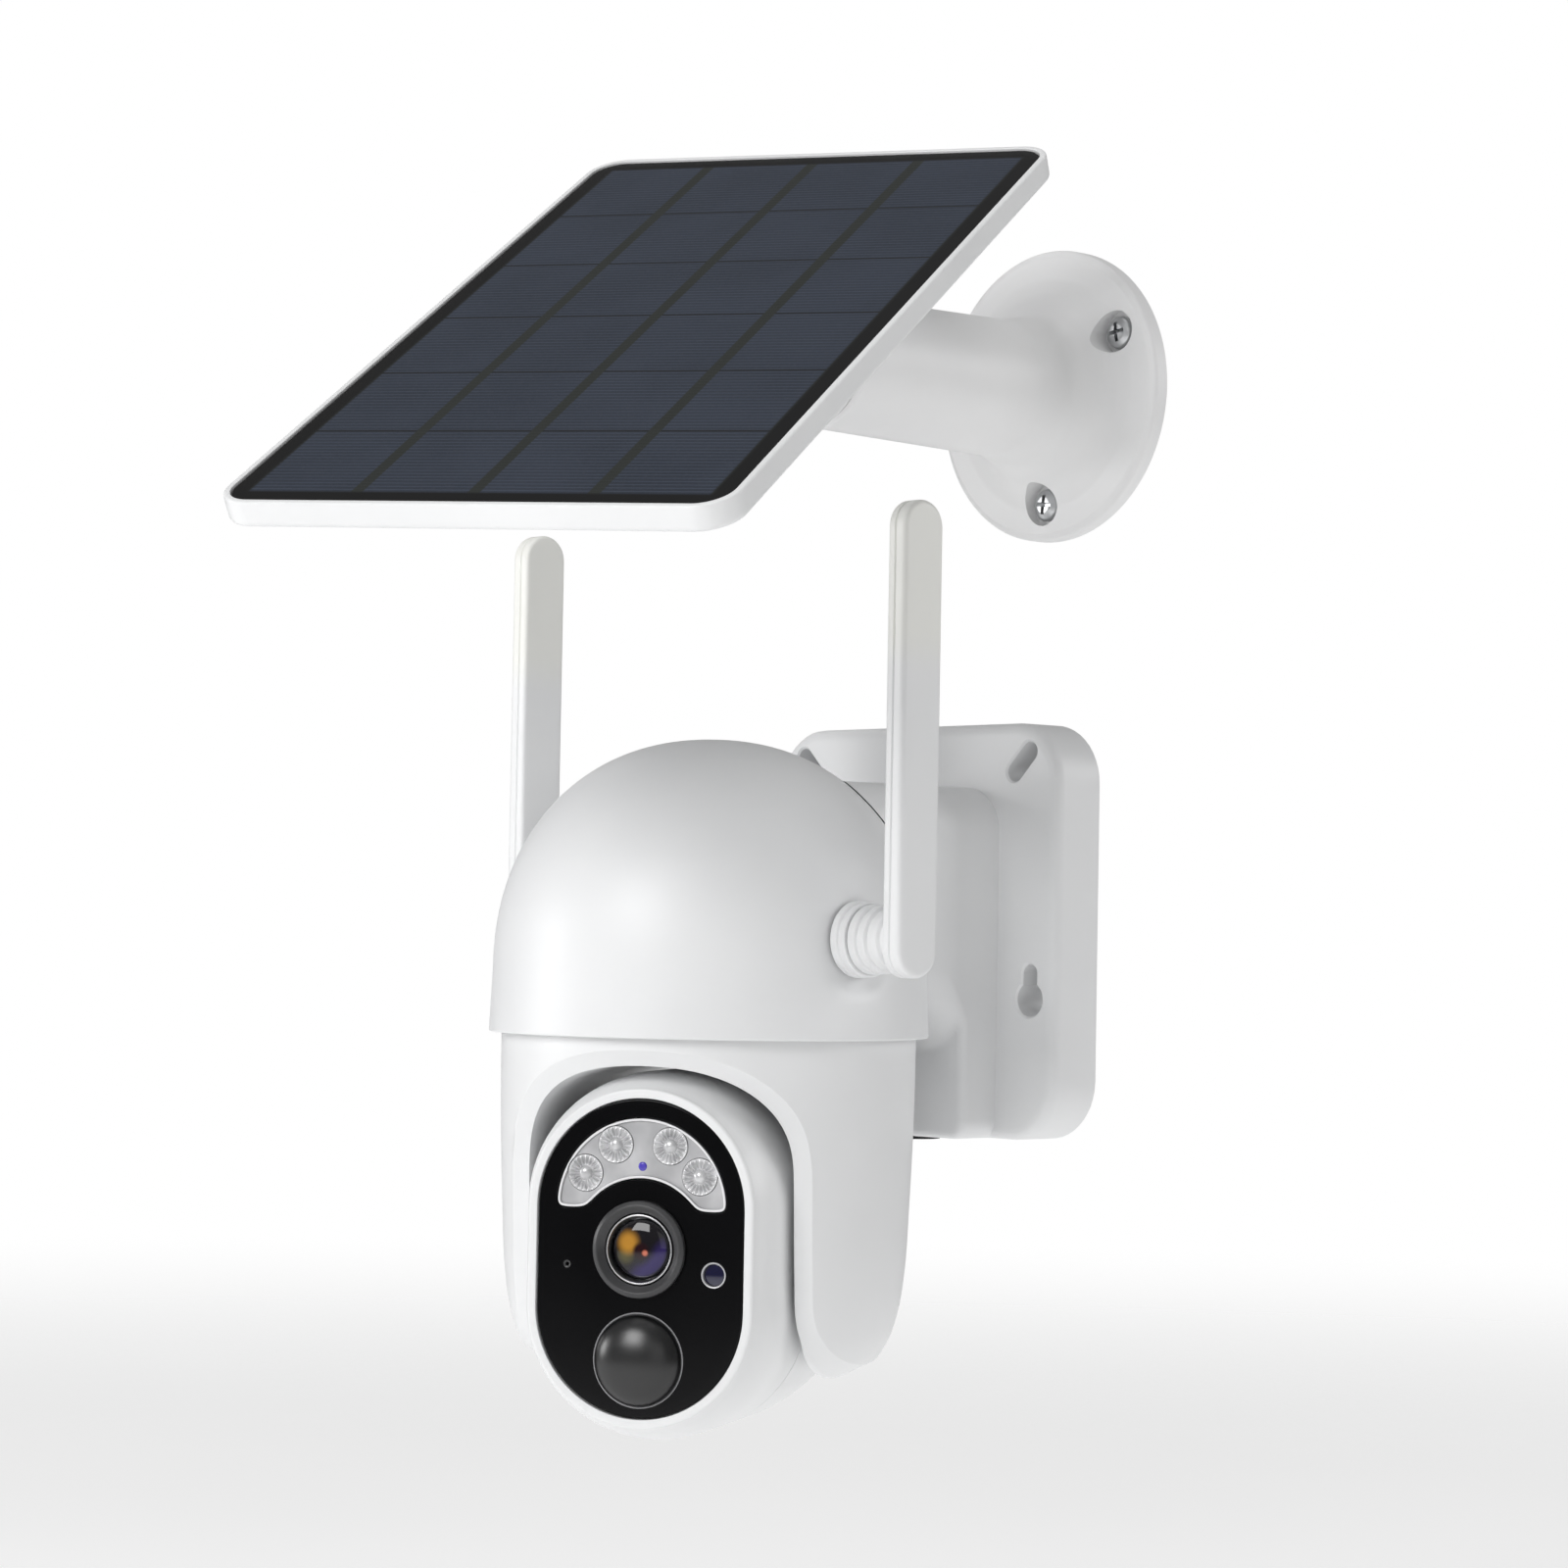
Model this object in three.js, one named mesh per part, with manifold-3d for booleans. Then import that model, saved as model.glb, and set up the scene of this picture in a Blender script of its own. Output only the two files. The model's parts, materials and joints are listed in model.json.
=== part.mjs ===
// Solar-powered security camera: a pan and tilt camera hung from a wall box, and its solar panel
// on a swivel arm beside it on the same wall. Millimetres, +Z up, +Y into the wall.
// The origin is the middle of the wall box's back face.

import * as THREE from 'three';
import { mergeVertices } from 'three/addons/utils/BufferGeometryUtils.js';
import Module from 'manifold-3d';

const wasm = await Module();
wasm.setup();

// ---------------------------------------------------------------- driving dimensions

const GAP = 0.3;                  // clearance between neighbouring pieces
const SHELL = 2.4;                // wall thickness of the mouldings

const BOX_WIDTH = 104;            // wall box
const BOX_HEIGHT = 106.8;
const BOX_DEPTH = 16;
const BOX_CORNER = 15.5;
const BOX_FILLET = 3.5;
const BLOCK_HALF_WIDTH = 31.8;    // raised block in the middle of the box
const BLOCK_PROUD = 12;
const BLOCK_TOP = 37;
const NECK_BOTTOM = -21;          // neck from the block to the hood
const NECK_UNDERCUT = 15;
const KEYHOLE = { x: 43.1, z: -17.4, radius: 4.4, slot: 2.4, rise: 9 };
const CORNER_SLOT = { x: 39.3, z: 43.4, radius: 2.6, half: 3.6 };
const PLATE_THICKNESS = 2.2;
const PLATE_SCREWS = [[-41, 14], [41, 14], [-41, -41], [41, -41]];

const DOME_STANDOFF = 86.5;       // hood axis to wall
const SKIRT_HEIGHT = -27.2;       // bottom edge of the hood, the zero of the hood's own heights
const SKIRT_RADIUS = 55;
const DOME_RADIUS = 54.3;
const DOME_SPRING = 16;           // height where the straight skirt turns into the dome
const DOME_RISE = 57.8;
const DOME_POWER = 2.15;          // a little squarer than an ellipse
const HOOD_BORE = 52.5;
const CHASSIS_BOTTOM = 8;
const CHASSIS_THICKNESS = 3;

const ANTENNA = { x: 70.7, pivot: 24.5, below: 9, above: 104.9, width: 13, thickness: 6 };
const ANTENNA_PAD = 52.8;         // flat on the hood that the antenna socket sits on
const SOCKET_END = 57.5;

const PAN_HEADING = 29;           // degrees from straight out of the wall, at rest
const YOKE_RADIUS = 51.8;
const YOKE_TOP = 6.5;
const ARCH_HALF_WIDTH = 34;
const ARCH_TOP = -6.4;
const ARCH_SPRING = -32;
const ARCH_POWER = 2.4;
const CHEEK_END = -83.5;
const CHEEK_TURN = -58;
const CHEEK_DEPTH = 38.5;
const HUB_RADIUS = 12;
const HUB_BORE = 8;
const PAN_GEAR_TEETH = 36;
const PAN_PINION_TEETH = 8;
const TOOTH_MODULE = 1.5;

const TILT_DROP = -52.5;          // tilt axis below the hood's edge
const HEAD_RADIUS = 32.5;         // half width of the head
const HEAD_STRAIGHT = 11.9;       // half of its straight side, so it is 88.8 tall
const HEAD_FRONT = 48;
const HEAD_EDGE = 3.6;
const HEAD_SEAM = 16;
const FACE_RADIUS = 26;
const FACE_RECESS = 0.6;
const FACE_THICKNESS = 2.2;
const LENS = { z: 2.2, outer: 11.6, ring: 8.4, glass: 7.2 };
const PIR = { z: -24.2, radius: 11, proud: 5.5 };
const LIGHT_SENSOR = { x: 18.6, z: -3.2, radius: 2.9 };
const MIC = { x: -18.6, z: -2, radius: 1 };
const LED_RADIUS = 4.4;
const LED_PLACES = [[-14.5, 19.9], [-6.9, 26.9], [6.9, 26.9], [14.5, 19.9]];
const WINDOW = { outer: 21.8, inner: 16.7, end: 11.4 };
const AXLE_END = 40;
const COVER = { halfWidth: 10, front: -14, back: 0 };

const ARM = { x: 35.3, z: 139, length: 86 };
const PLATE_RADIUS = 37.8;
const TUBE_ROOT = 17.6;
const TUBE_END = 16.4;
const ARM_HOLES = { circle: 28.4, angles: [30, 150, 270], counterbore: 5.5, bore: 2.6 };
const HINGE_REACH = 104;          // panel hinge to wall
const ARM_ROLL = 15;              // swivel head's turn about the arm, at rest
const PANEL_TILT = 28.7;          // panel's slope about the hinge, at rest
const PANEL_TURN = 25;            // panel's turn on its bracket, at rest
const HINGE_RISE = 19.6;          // hinge to the panel's back
const FOOT_OFFSET = 17;           // hinge to the middle of the bracket's foot
const FOOT_RADIUS = 23;
const FOOT_THICKNESS = 4;
const TONGUE_HALF = 6.5;
const KNUCKLE_RADIUS = 11;
const PANEL = { width: 127, length: 203, thickness: 6.4, corner: 9, rim: 1.6, shift: 20.5, outlet: -70 };

// ---------------------------------------------------------------- materials

function finish(color, roughness, metalness = 0) {
  return new THREE.MeshStandardMaterial({ color, roughness, metalness });
}

const whitePlastic = finish('#e4e5e6', 0.45);
const blackGloss = finish('#08090b', 0.08);
const darkPlastic = finish('#26282c', 0.5);
const nylon = finish('#e9e6dc', 0.55);
const rubber = finish('#1d1e20', 0.85);
const steel = finish('#9ea2a6', 0.3, 1);
const silver = finish('#b9bcbf', 0.35, 0.6);
const clearPlastic = finish('#d5dade', 0.12);
const opticalGlass = finish('#241a2e', 0.03);
const boardGreen = finish('#1f5a38', 0.6);
const batteryWrap = finish('#2b6fb0', 0.4);
const solarCells = finish('#20242e', 0.15);
const sensorBlue = finish('#20254a', 0.15);

// ---------------------------------------------------------------- making shapes

const radians = THREE.MathUtils.degToRad;

function solid(geometry) {
  const bare = geometry.clone();
  bare.deleteAttribute('normal');
  bare.deleteAttribute('uv');
  const merged = mergeVertices(bare, 1e-4);
  const position = merged.getAttribute('position').array;
  const corners = merged.getIndex().array;
  const kept = [];
  let volume = 0;
  for (let i = 0; i < corners.length; i += 3) {
    const [a, b, c] = [corners[i], corners[i + 1], corners[i + 2]];
    if (a === b || b === c || c === a) continue;
    kept.push(a, b, c);
    const [pa, pb, pc] = [a, b, c].map((v) => new THREE.Vector3().fromArray(position, 3 * v));
    volume += pa.dot(pb.cross(pc));
  }
  if (volume < 0) kept.reverse();
  const mesh = { numProp: 3, vertProperties: new Float32Array(position), triVerts: new Uint32Array(kept) };
  return new wasm.Manifold(new wasm.Mesh(mesh));
}

function join(first, ...others) {
  return others.reduce((whole, other) => whole.add(other), first);
}

function cut(first, ...others) {
  return others.reduce((whole, other) => whole.subtract(other), first);
}

function geometryOf(shape) {
  const mesh = shape.getMesh();
  const geometry = new THREE.BufferGeometry();
  geometry.setAttribute('position', new THREE.BufferAttribute(mesh.vertProperties, 3));
  geometry.setIndex(new THREE.BufferAttribute(mesh.triVerts, 1));
  geometry.computeVertexNormals();
  return geometry;
}

function piece(parent, name, shape, material) {
  const mesh = new THREE.Mesh(geometryOf(shape), material);
  mesh.name = name;
  parent.add(mesh);
}

function group(parent, x, y, z) {
  const child = new THREE.Group();
  child.position.set(x, y, z);
  parent.add(child);
  return child;
}

// A flat outline pushed from z = 0 to z = length, with rounded ends when edge is given.
function prism(outline, length, edge = 0, edgeDepth = edge, segments = 6) {
  const geometry = new THREE.ExtrudeGeometry(outline, {
    depth: length - 2 * edgeDepth,
    bevelEnabled: edge > 0,
    bevelThickness: edgeDepth,
    bevelSize: edge,
    bevelOffset: -edge,
    bevelSegments: 1,
    curveSegments: segments,
  });
  return geometry.translate(0, 0, edgeDepth);
}

// Outline drawn in X and Z, pushed from the wall side at y towards the room.
function frontPrism(outline, y, length, edge = 0, edgeDepth = edge, segments = 6) {
  return solid(prism(outline, length, edge, edgeDepth, segments).rotateX(Math.PI / 2).translate(0, y, 0));
}

// Outline drawn in Y and Z, pushed along +X from x.
function sidePrism(outline, x, length, edge = 0, segments = 6) {
  const turn = new THREE.Matrix4().makeBasis(
    new THREE.Vector3(0, 1, 0),
    new THREE.Vector3(0, 0, 1),
    new THREE.Vector3(1, 0, 0),
  );
  return solid(prism(outline, length, edge, edge, segments).applyMatrix4(turn).translate(x, 0, 0));
}

// Outline drawn in X and Y, pushed up from z.
function flatPrism(outline, z, length, edge = 0, segments = 6) {
  return solid(prism(outline, length, edge, edge, segments).translate(0, 0, z));
}

// A profile of [radius, place along the axis] turned about X, Y or Z.
function turned(profile, axis, segments = 20) {
  const geometry = new THREE.LatheGeometry(profile.map(([r, h]) => new THREE.Vector2(r, h)), segments);
  if (axis === 'z') geometry.rotateX(Math.PI / 2);
  if (axis === 'x') geometry.rotateZ(-Math.PI / 2);
  return solid(geometry);
}

function rod(radius, start, end, axis, segments = 14) {
  return turned([[0, start], [radius, start], [radius, end], [0, end]], axis, segments);
}

function tube(outer, inner, start, end, axis, segments = 18) {
  const profile = [[inner, start], [outer, start], [outer, end], [inner, end], [inner, start]];
  return turned(profile, axis, segments);
}

function block(x0, x1, y0, y1, z0, z1) {
  const geometry = new THREE.BoxGeometry(x1 - x0, y1 - y0, z1 - z0);
  return solid(geometry.translate((x0 + x1) / 2, (y0 + y1) / 2, (z0 + z1) / 2));
}

function roundedRect(x0, x1, y0, y1, radius, lowRadius = radius, steps = 3) {
  const corners = [
    [x1 - lowRadius, y0 + lowRadius, lowRadius, -90],
    [x1 - radius, y1 - radius, radius, 0],
    [x0 + radius, y1 - radius, radius, 90],
    [x0 + lowRadius, y0 + lowRadius, lowRadius, 180],
  ];
  const points = corners.flatMap(([x, y, r, start]) => Array.from({ length: steps + 1 }, (_, i) => {
    const angle = radians(start + 90 * i / steps);
    return new THREE.Vector2(x + r * Math.cos(angle), y + r * Math.sin(angle));
  }));
  return new THREE.Shape(points);
}

function stadium(radius, straight, x = 0, y = 0) {
  const outline = new THREE.Shape();
  outline.absarc(x, y + straight, radius, 0, Math.PI);
  outline.absarc(x, y - straight, radius, Math.PI, 2 * Math.PI);
  return outline;
}

function circle(radius, x = 0, y = 0) {
  return new THREE.Shape().absarc(x, y, radius, 0, 2 * Math.PI);
}

function gearOutline(teeth, phase = 0) {
  const pitch = teeth * TOOTH_MODULE / 2;
  const root = pitch - 1.15 * TOOTH_MODULE;
  const tip = pitch + 0.8 * TOOTH_MODULE;
  const step = 2 * Math.PI / teeth;
  const points = [];
  for (let i = 0; i < teeth; i += 1) {
    for (const [radius, share] of [[root, -0.3], [tip, -0.12], [tip, 0.12], [root, 0.3]]) {
      const angle = (i + share + phase) * step;
      points.push(new THREE.Vector2(radius * Math.cos(angle), radius * Math.sin(angle)));
    }
  }
  return new THREE.Shape(points);
}

// ---------------------------------------------------------------- wall box and its contents

const model = new THREE.Group();
const hood = group(model, 0, -DOME_STANDOFF, SKIRT_HEIGHT);

function domeRadius(height, offset = 0) {
  if (height <= DOME_SPRING) {
    return SKIRT_RADIUS - (SKIRT_RADIUS - DOME_RADIUS) * Math.max(0, height) / DOME_SPRING + offset;
  }
  const share = Math.min(1, (height - DOME_SPRING) / (DOME_RISE + offset));
  return (DOME_RADIUS + offset) * (1 - share ** DOME_POWER) ** (1 / DOME_POWER);
}

// The dome's outside, or the same surface moved out by an offset.
function domeSolid(offset, bottom, steps = 7) {
  const top = DOME_SPRING + DOME_RISE + offset;
  const profile = [[0, bottom], [domeRadius(0, offset), bottom], [domeRadius(0, offset), 0]];
  for (let i = 0; i <= steps; i += 1) {
    const angle = (i / steps) * Math.PI / 2;
    const height = DOME_SPRING + (DOME_RISE + offset) * Math.sin(angle) ** (2 / DOME_POWER);
    profile.push([i === steps ? 0 : domeRadius(height, offset), i === steps ? top : height]);
  }
  return turned(profile, 'z', 32);
}

function keyhole(x) {
  const round = circle(KEYHOLE.radius, x, KEYHOLE.z);
  const slot = roundedRect(x - KEYHOLE.slot, x + KEYHOLE.slot, KEYHOLE.z, KEYHOLE.z + KEYHOLE.rise, KEYHOLE.slot);
  return join(frontPrism(round, 2, 22), frontPrism(slot, 2, 22));
}

function cornerSlot(side) {
  const outline = stadium(CORNER_SLOT.radius, CORNER_SLOT.half);
  const geometry = prism(outline, 22).rotateZ(-side * Math.PI / 4);
  geometry.rotateX(Math.PI / 2).translate(side * CORNER_SLOT.x, 2, CORNER_SLOT.z);
  return solid(geometry);
}

const wallHoles = join(keyhole(-KEYHOLE.x), keyhole(KEYHOLE.x), cornerSlot(-1), cornerSlot(1));

function boxOutline(inset) {
  const [w, h] = [BOX_WIDTH / 2 - inset, BOX_HEIGHT / 2 - inset];
  return roundedRect(-w, w, -h, h, BOX_CORNER - inset);
}

function blockOutline(inset) {
  const w = BLOCK_HALF_WIDTH - inset;
  return roundedRect(-w, w, -BOX_HEIGHT / 2 + inset, BLOCK_TOP - inset, 12 - inset, 5 - inset / 2);
}

function neckOutline(inset) {
  const w = BLOCK_HALF_WIDTH - inset;
  return roundedRect(-w, w, NECK_BOTTOM + inset, BLOCK_TOP - inset, 14 - inset);
}

function wallBox() {
  const front = BOX_DEPTH + BLOCK_PROUD;
  const undercut = new THREE.Shape();
  undercut.moveTo(-front + 2, NECK_BOTTOM - NECK_UNDERCUT);
  undercut.absarc(-front - NECK_UNDERCUT, NECK_BOTTOM - NECK_UNDERCUT, NECK_UNDERCUT, 0, Math.PI / 2);
  undercut.lineTo(-front - NECK_UNDERCUT, NECK_BOTTOM + 6);
  undercut.lineTo(-front + 2, NECK_BOTTOM + 6);
  const undercutHalf = BLOCK_HALF_WIDTH - 4;
  const outside = join(
    frontPrism(boxOutline(0), 8, BOX_DEPTH + 8, BOX_FILLET),
    frontPrism(blockOutline(0), -4, front - 4, 3),
    frontPrism(neckOutline(0), -front + 6, 48),
    sidePrism(undercut, -undercutHalf, 2 * undercutHalf),
  );
  const posts = PLATE_SCREWS.map(([x, z]) => frontPrism(circle(4, x, z), -3.4, 12));
  const slotWalls = [-1, 1].map((side) => join(
    frontPrism(circle(KEYHOLE.radius + 2.2, side * KEYHOLE.x, KEYHOLE.z), -3.4, 12),
    frontPrism(circle(CORNER_SLOT.radius + CORNER_SLOT.half + 1, side * CORNER_SLOT.x, CORNER_SLOT.z), -3.4, 12),
  ));
  const shelf = 2 * SHELL + 0.6;
  const cavity = cut(frontPrism(boxOutline(shelf), 1, BOX_DEPTH - SHELL + 1), ...posts, ...slotWalls);
  const domeHole = domeSolid(GAP, -5).translate([0, -DOME_STANDOFF, SKIRT_HEIGHT]);
  return cut(
    outside,
    block(-60, 60, 0, 20, -60, 60),
    frontPrism(boxOutline(SHELL), 1, 4.4),
    cavity,
    frontPrism(blockOutline(SHELL), -10, front - 10 - SHELL),
    frontPrism(neckOutline(SHELL), -front + 8, 60),
    domeHole,
    wallHoles,
    ...PLATE_SCREWS.map(([x, z]) => frontPrism(circle(1.6, x, z), -3, 9)),
    rod(5.8, -BOX_HEIGHT / 2 - 2, -BOX_HEIGHT / 2 + 8, 'z').translate([0, -14, 0]),
  );
}

function backPlate() {
  const plate = frontPrism(boxOutline(SHELL + GAP), 0, PLATE_THICKNESS);
  const heads = PLATE_SCREWS.map(([x, z]) => frontPrism(circle(3.1, x, z), 1, 2.6));
  const shanks = PLATE_SCREWS.map(([x, z]) => frontPrism(circle(1.6, x, z), 1, 5));
  return cut(plate, wallHoles, ...heads, ...shanks);
}

function boxSeal() {
  const outer = frontPrism(boxOutline(SHELL + GAP), -PLATE_THICKNESS - GAP, 0.6);
  return cut(outer, frontPrism(boxOutline(2 * SHELL + 0.4), 0, 6));
}

function plateScrew(x, z) {
  const profile = [[0, -9], [1.3, -9], [1.3, -1.3], [2.8, -1.3], [2.8, -0.3], [0, -0.3]];
  return turned(profile, 'y', 12).translate([x, 0, z]);
}

function batteryPack() {
  const cells = [-18.7, 0, 18.7].map((x) => rod(9.4, -40, 25, 'z', 18).translate([x, -15.2, 0]));
  const wrap = block(-18.7, 18.7, -23, -7.4, -39, 24);
  return join(wrap, ...cells);
}

function chargeInlet() {
  const bottom = -BOX_HEIGHT / 2;
  const profile = [
    [0, bottom + 6], [3.2, bottom + 6], [3.2, bottom - 1.3], [7.4, bottom - 1.3],
    [7.4, bottom - GAP], [5.5, bottom - GAP], [5.5, bottom + 9], [0, bottom + 9],
  ];
  return turned(profile, 'z', 16).translate([0, -14, 0]);
}

piece(model, 'wall_box', wallBox(), whitePlastic);
piece(model, 'back_plate', backPlate(), whitePlastic);
piece(model, 'box_seal', boxSeal(), rubber);
PLATE_SCREWS.forEach(([x, z], i) => piece(model, `plate_screw_${i + 1}`, plateScrew(x, z), steel));
piece(model, 'battery_pack', batteryPack(), batteryWrap);
piece(model, 'charge_inlet', chargeInlet(), rubber);

// ---------------------------------------------------------------- hood, chassis and pan drive

const PAN_DRIVE_RADIUS = (PAN_GEAR_TEETH + PAN_PINION_TEETH) * TOOTH_MODULE / 2;
const PAN_DRIVE_ANGLE = 150;
const CHASSIS_TOP = CHASSIS_BOTTOM + CHASSIS_THICKNESS;
const MOTOR_RADIUS = 13;
const BOARD_HEIGHT = 36;

function onCircle(radius, degrees) {
  return [radius * Math.cos(radians(degrees)), radius * Math.sin(radians(degrees)), 0];
}

const panDrive = onCircle(PAN_DRIVE_RADIUS, PAN_DRIVE_ANGLE);

function hoodShell() {
  const bore = rod(HOOD_BORE, -1, CHASSIS_TOP + GAP, 'z', 32);
  const inside = domeSolid(-SHELL - 0.4, CHASSIS_TOP);
  const padCuts = [-1, 1].map((side) => {
    const pad = rod(15, ANTENNA_PAD, ANTENNA_PAD + 8, 'x', 20).translate([0, 0, ANTENNA.pivot]);
    return side > 0 ? pad : pad.rotate([0, 0, 180]);
  });
  const leadHole = rod(4.3, -60, 60, 'x', 16).translate([0, 0, ANTENNA.pivot]);
  const wiring = frontPrism(roundedRect(-18, 18, 20, 50, 6), 60, 60);
  return cut(domeSolid(0, 0), bore, inside, ...padCuts, leadHole, wiring);
}

function chassisPlate() {
  const plate = rod(HOOD_BORE - GAP, CHASSIS_BOTTOM, CHASSIS_TOP, 'z', 32);
  const pillars = [30, 210, 270].map((angle) =>
    rod(3, CHASSIS_TOP - 1, BOARD_HEIGHT - GAP, 'z', 12).translate(onCircle(38, angle)));
  return cut(
    join(plate, ...pillars),
    rod(17 + GAP, CHASSIS_BOTTOM - 1, CHASSIS_TOP + 1, 'z', 24),
    rod(7.5, CHASSIS_BOTTOM - 1, CHASSIS_TOP + 1, 'z', 20).translate(panDrive),
  );
}

function antennaSocket(side) {
  const profile = [
    [4.3, ANTENNA_PAD + GAP], [9.3, ANTENNA_PAD + GAP], [9.3, SOCKET_END - 0.8],
    [8.5, SOCKET_END], [4.3, SOCKET_END], [4.3, ANTENNA_PAD + GAP],
  ];
  const socket = turned(profile, 'x', 16);
  return (side > 0 ? socket : socket.rotate([0, 0, 180])).translate([0, 0, ANTENNA.pivot]);
}

function mainBoard() {
  const board = rod(40, BOARD_HEIGHT, BOARD_HEIGHT + 1.6, 'z', 24);
  const chips = [[-14, 6, 12], [12, -8, 16], [8, 18, 9]].map(([x, y, size]) =>
    block(x - size / 2, x + size / 2, y - size / 2, y + size / 2, BOARD_HEIGHT + 1, BOARD_HEIGHT + 3));
  return join(board, ...chips);
}

piece(hood, 'hood', hoodShell(), whitePlastic);
piece(hood, 'chassis_plate', chassisPlate(), darkPlastic);
piece(hood, 'pan_bearing', tube(17, HUB_RADIUS + GAP, CHASSIS_BOTTOM, CHASSIS_TOP + 1.5, 'z', 20), steel);
const motor = rod(MOTOR_RADIUS, CHASSIS_TOP + GAP, CHASSIS_TOP + 19, 'z', 24).translate(panDrive);
piece(hood, 'pan_motor', motor, steel);
piece(hood, 'main_board', mainBoard(), boardGreen);
const speaker = turned([[0, 15], [9, 14], [14, 15], [14, 20], [8, 22], [0, 22]], 'z', 24);
piece(hood, 'speaker', speaker.translate(onCircle(33, 330)), darkPlastic);
piece(hood, 'antenna_socket_left', antennaSocket(-1), whitePlastic);
piece(hood, 'antenna_socket_right', antennaSocket(1), whitePlastic);

const PINION_BOTTOM = -3.1;
const panPinionSolid = join(
  flatPrism(gearOutline(PAN_PINION_TEETH), PINION_BOTTOM, 4.4),
  rod(2, PINION_BOTTOM + 4, CHASSIS_TOP, 'z', 16),
);
const panPinionGroup = group(hood, panDrive[0], panDrive[1], 0);
panPinionGroup.rotation.z = radians(PAN_DRIVE_ANGLE);
piece(panPinionGroup, 'pan_pinion', panPinionSolid, nylon);

// ---------------------------------------------------------------- antennas

function antenna(side) {
  const half = ANTENNA.width / 2;
  const start = ANTENNA.x - ANTENNA.thickness / 2;
  const outline = new THREE.Shape();
  outline.absarc(0, half - ANTENNA.below, half, Math.PI, 2 * Math.PI);
  outline.absarc(0, ANTENNA.above - half + 0.5, half - 0.5, 0, Math.PI);
  const blade = sidePrism(outline, start, ANTENNA.thickness, 1.8, 4);
  const hub = turned([
    [0, SOCKET_END - 2.5], [4, SOCKET_END - 2.5], [4, SOCKET_END + GAP], [8.4, SOCKET_END + GAP],
    [8.4, start - 2], [7.6, start - 1], [7.6, start + 1], [0, start + 1],
  ], 'x', 16);
  const whole = join(blade, hub);
  return (side > 0 ? whole : whole.mirror([1, 0, 0])).translate([0, 0, ANTENNA.pivot]);
}

piece(hood, 'antenna_left', antenna(-1), whitePlastic);
piece(hood, 'antenna_right', antenna(1), whitePlastic);

// ---------------------------------------------------------------- yoke, turning about the hood's axis

const yoke = group(hood, 0, 0, 0);
yoke.rotation.z = radians(PAN_HEADING);

const YOKE_PROFILE = [
  [YOKE_RADIUS, YOKE_TOP], [YOKE_RADIUS, -6], [51.5, -24], [50.8, -42], [49.9, -58],
  [48.4, -68], [45.6, -76], [42, -81], [37, CHEEK_END - 1],
];

function yokeOutside(inset) {
  const sides = YOKE_PROFILE.map(([r, z]) => [r - inset, z]);
  return turned([[0, YOKE_TOP], ...sides, [0, CHEEK_END - 1]], 'z', 36);
}

function archOutline(halfWidth, top, steps = 14) {
  const rise = top - ARCH_SPRING;
  const outline = new THREE.Shape();
  outline.moveTo(-halfWidth, CHEEK_END - 20);
  for (let i = 0; i <= steps; i += 1) {
    const angle = Math.PI * (1 - i / steps);
    const x = Math.sign(Math.cos(angle)) * Math.abs(Math.cos(angle)) ** (2 / ARCH_POWER);
    outline.lineTo(halfWidth * x, ARCH_SPRING + rise * Math.sin(angle) ** (2 / ARCH_POWER));
  }
  outline.lineTo(halfWidth, CHEEK_END - 20);
  return outline;
}

function cheekOutline(inset) {
  const outline = new THREE.Shape();
  outline.moveTo(-60, 20);
  outline.lineTo(-60, CHEEK_TURN);
  outline.lineTo(-CHEEK_DEPTH + inset, CHEEK_TURN);
  const rise = CHEEK_TURN - CHEEK_END - inset;
  outline.absellipse(0, CHEEK_TURN, CHEEK_DEPTH - inset, rise, Math.PI, 2 * Math.PI);
  outline.lineTo(60, CHEEK_TURN);
  outline.lineTo(60, 20);
  return outline;
}

const CHEEK_CAVITY_TOP = -24;
const CHEEK_CAVITY_HALF = 26;

function cheekCavity(inset) {
  const half = CHEEK_CAVITY_HALF - inset;
  const outline = new THREE.Shape();
  outline.moveTo(-half, CHEEK_CAVITY_TOP - inset);
  outline.lineTo(-half, CHEEK_TURN);
  outline.absellipse(0, CHEEK_TURN, half, CHEEK_TURN - CHEEK_END - 5 - inset, Math.PI, 2 * Math.PI);
  outline.lineTo(half, CHEEK_CAVITY_TOP - inset);
  return outline;
}

function yokeShell() {
  const body = yokeOutside(0).intersect(sidePrism(cheekOutline(0), -60, 120, 0, 7));
  const reach = yokeOutside(SHELL);
  const cavities = sidePrism(cheekCavity(0), -60, 120).intersect(reach);
  const opened = cut(
    body,
    frontPrism(archOutline(ARCH_HALF_WIDTH, ARCH_TOP), 70, 140),
    cavities,
    tube(YOKE_RADIUS - 3.6, 16, ARCH_TOP + 3, YOKE_TOP + 1, 'z', 36),
  );
  const hub = rod(HUB_RADIUS, 0, 18, 'z', 24);
  return cut(join(opened, hub), rod(HUB_BORE, ARCH_TOP - 4, 20, 'z', 20));
}

function cheekCover(side) {
  const plate = sidePrism(cheekCavity(GAP), ARCH_HALF_WIDTH + GAP, 1.8);
  const pierced = cut(plate, rod(8 + GAP, 30, 40, 'x', 24).translate([0, 0, TILT_DROP]));
  return side > 0 ? pierced : pierced.mirror([1, 0, 0]);
}

function tiltBearing(side) {
  const ring = tube(8, 5 + GAP, ARCH_HALF_WIDTH + GAP, ARCH_HALF_WIDTH + 5, 'x', 24);
  return (side > 0 ? ring : ring.mirror([1, 0, 0])).translate([0, 0, TILT_DROP]);
}

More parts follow.
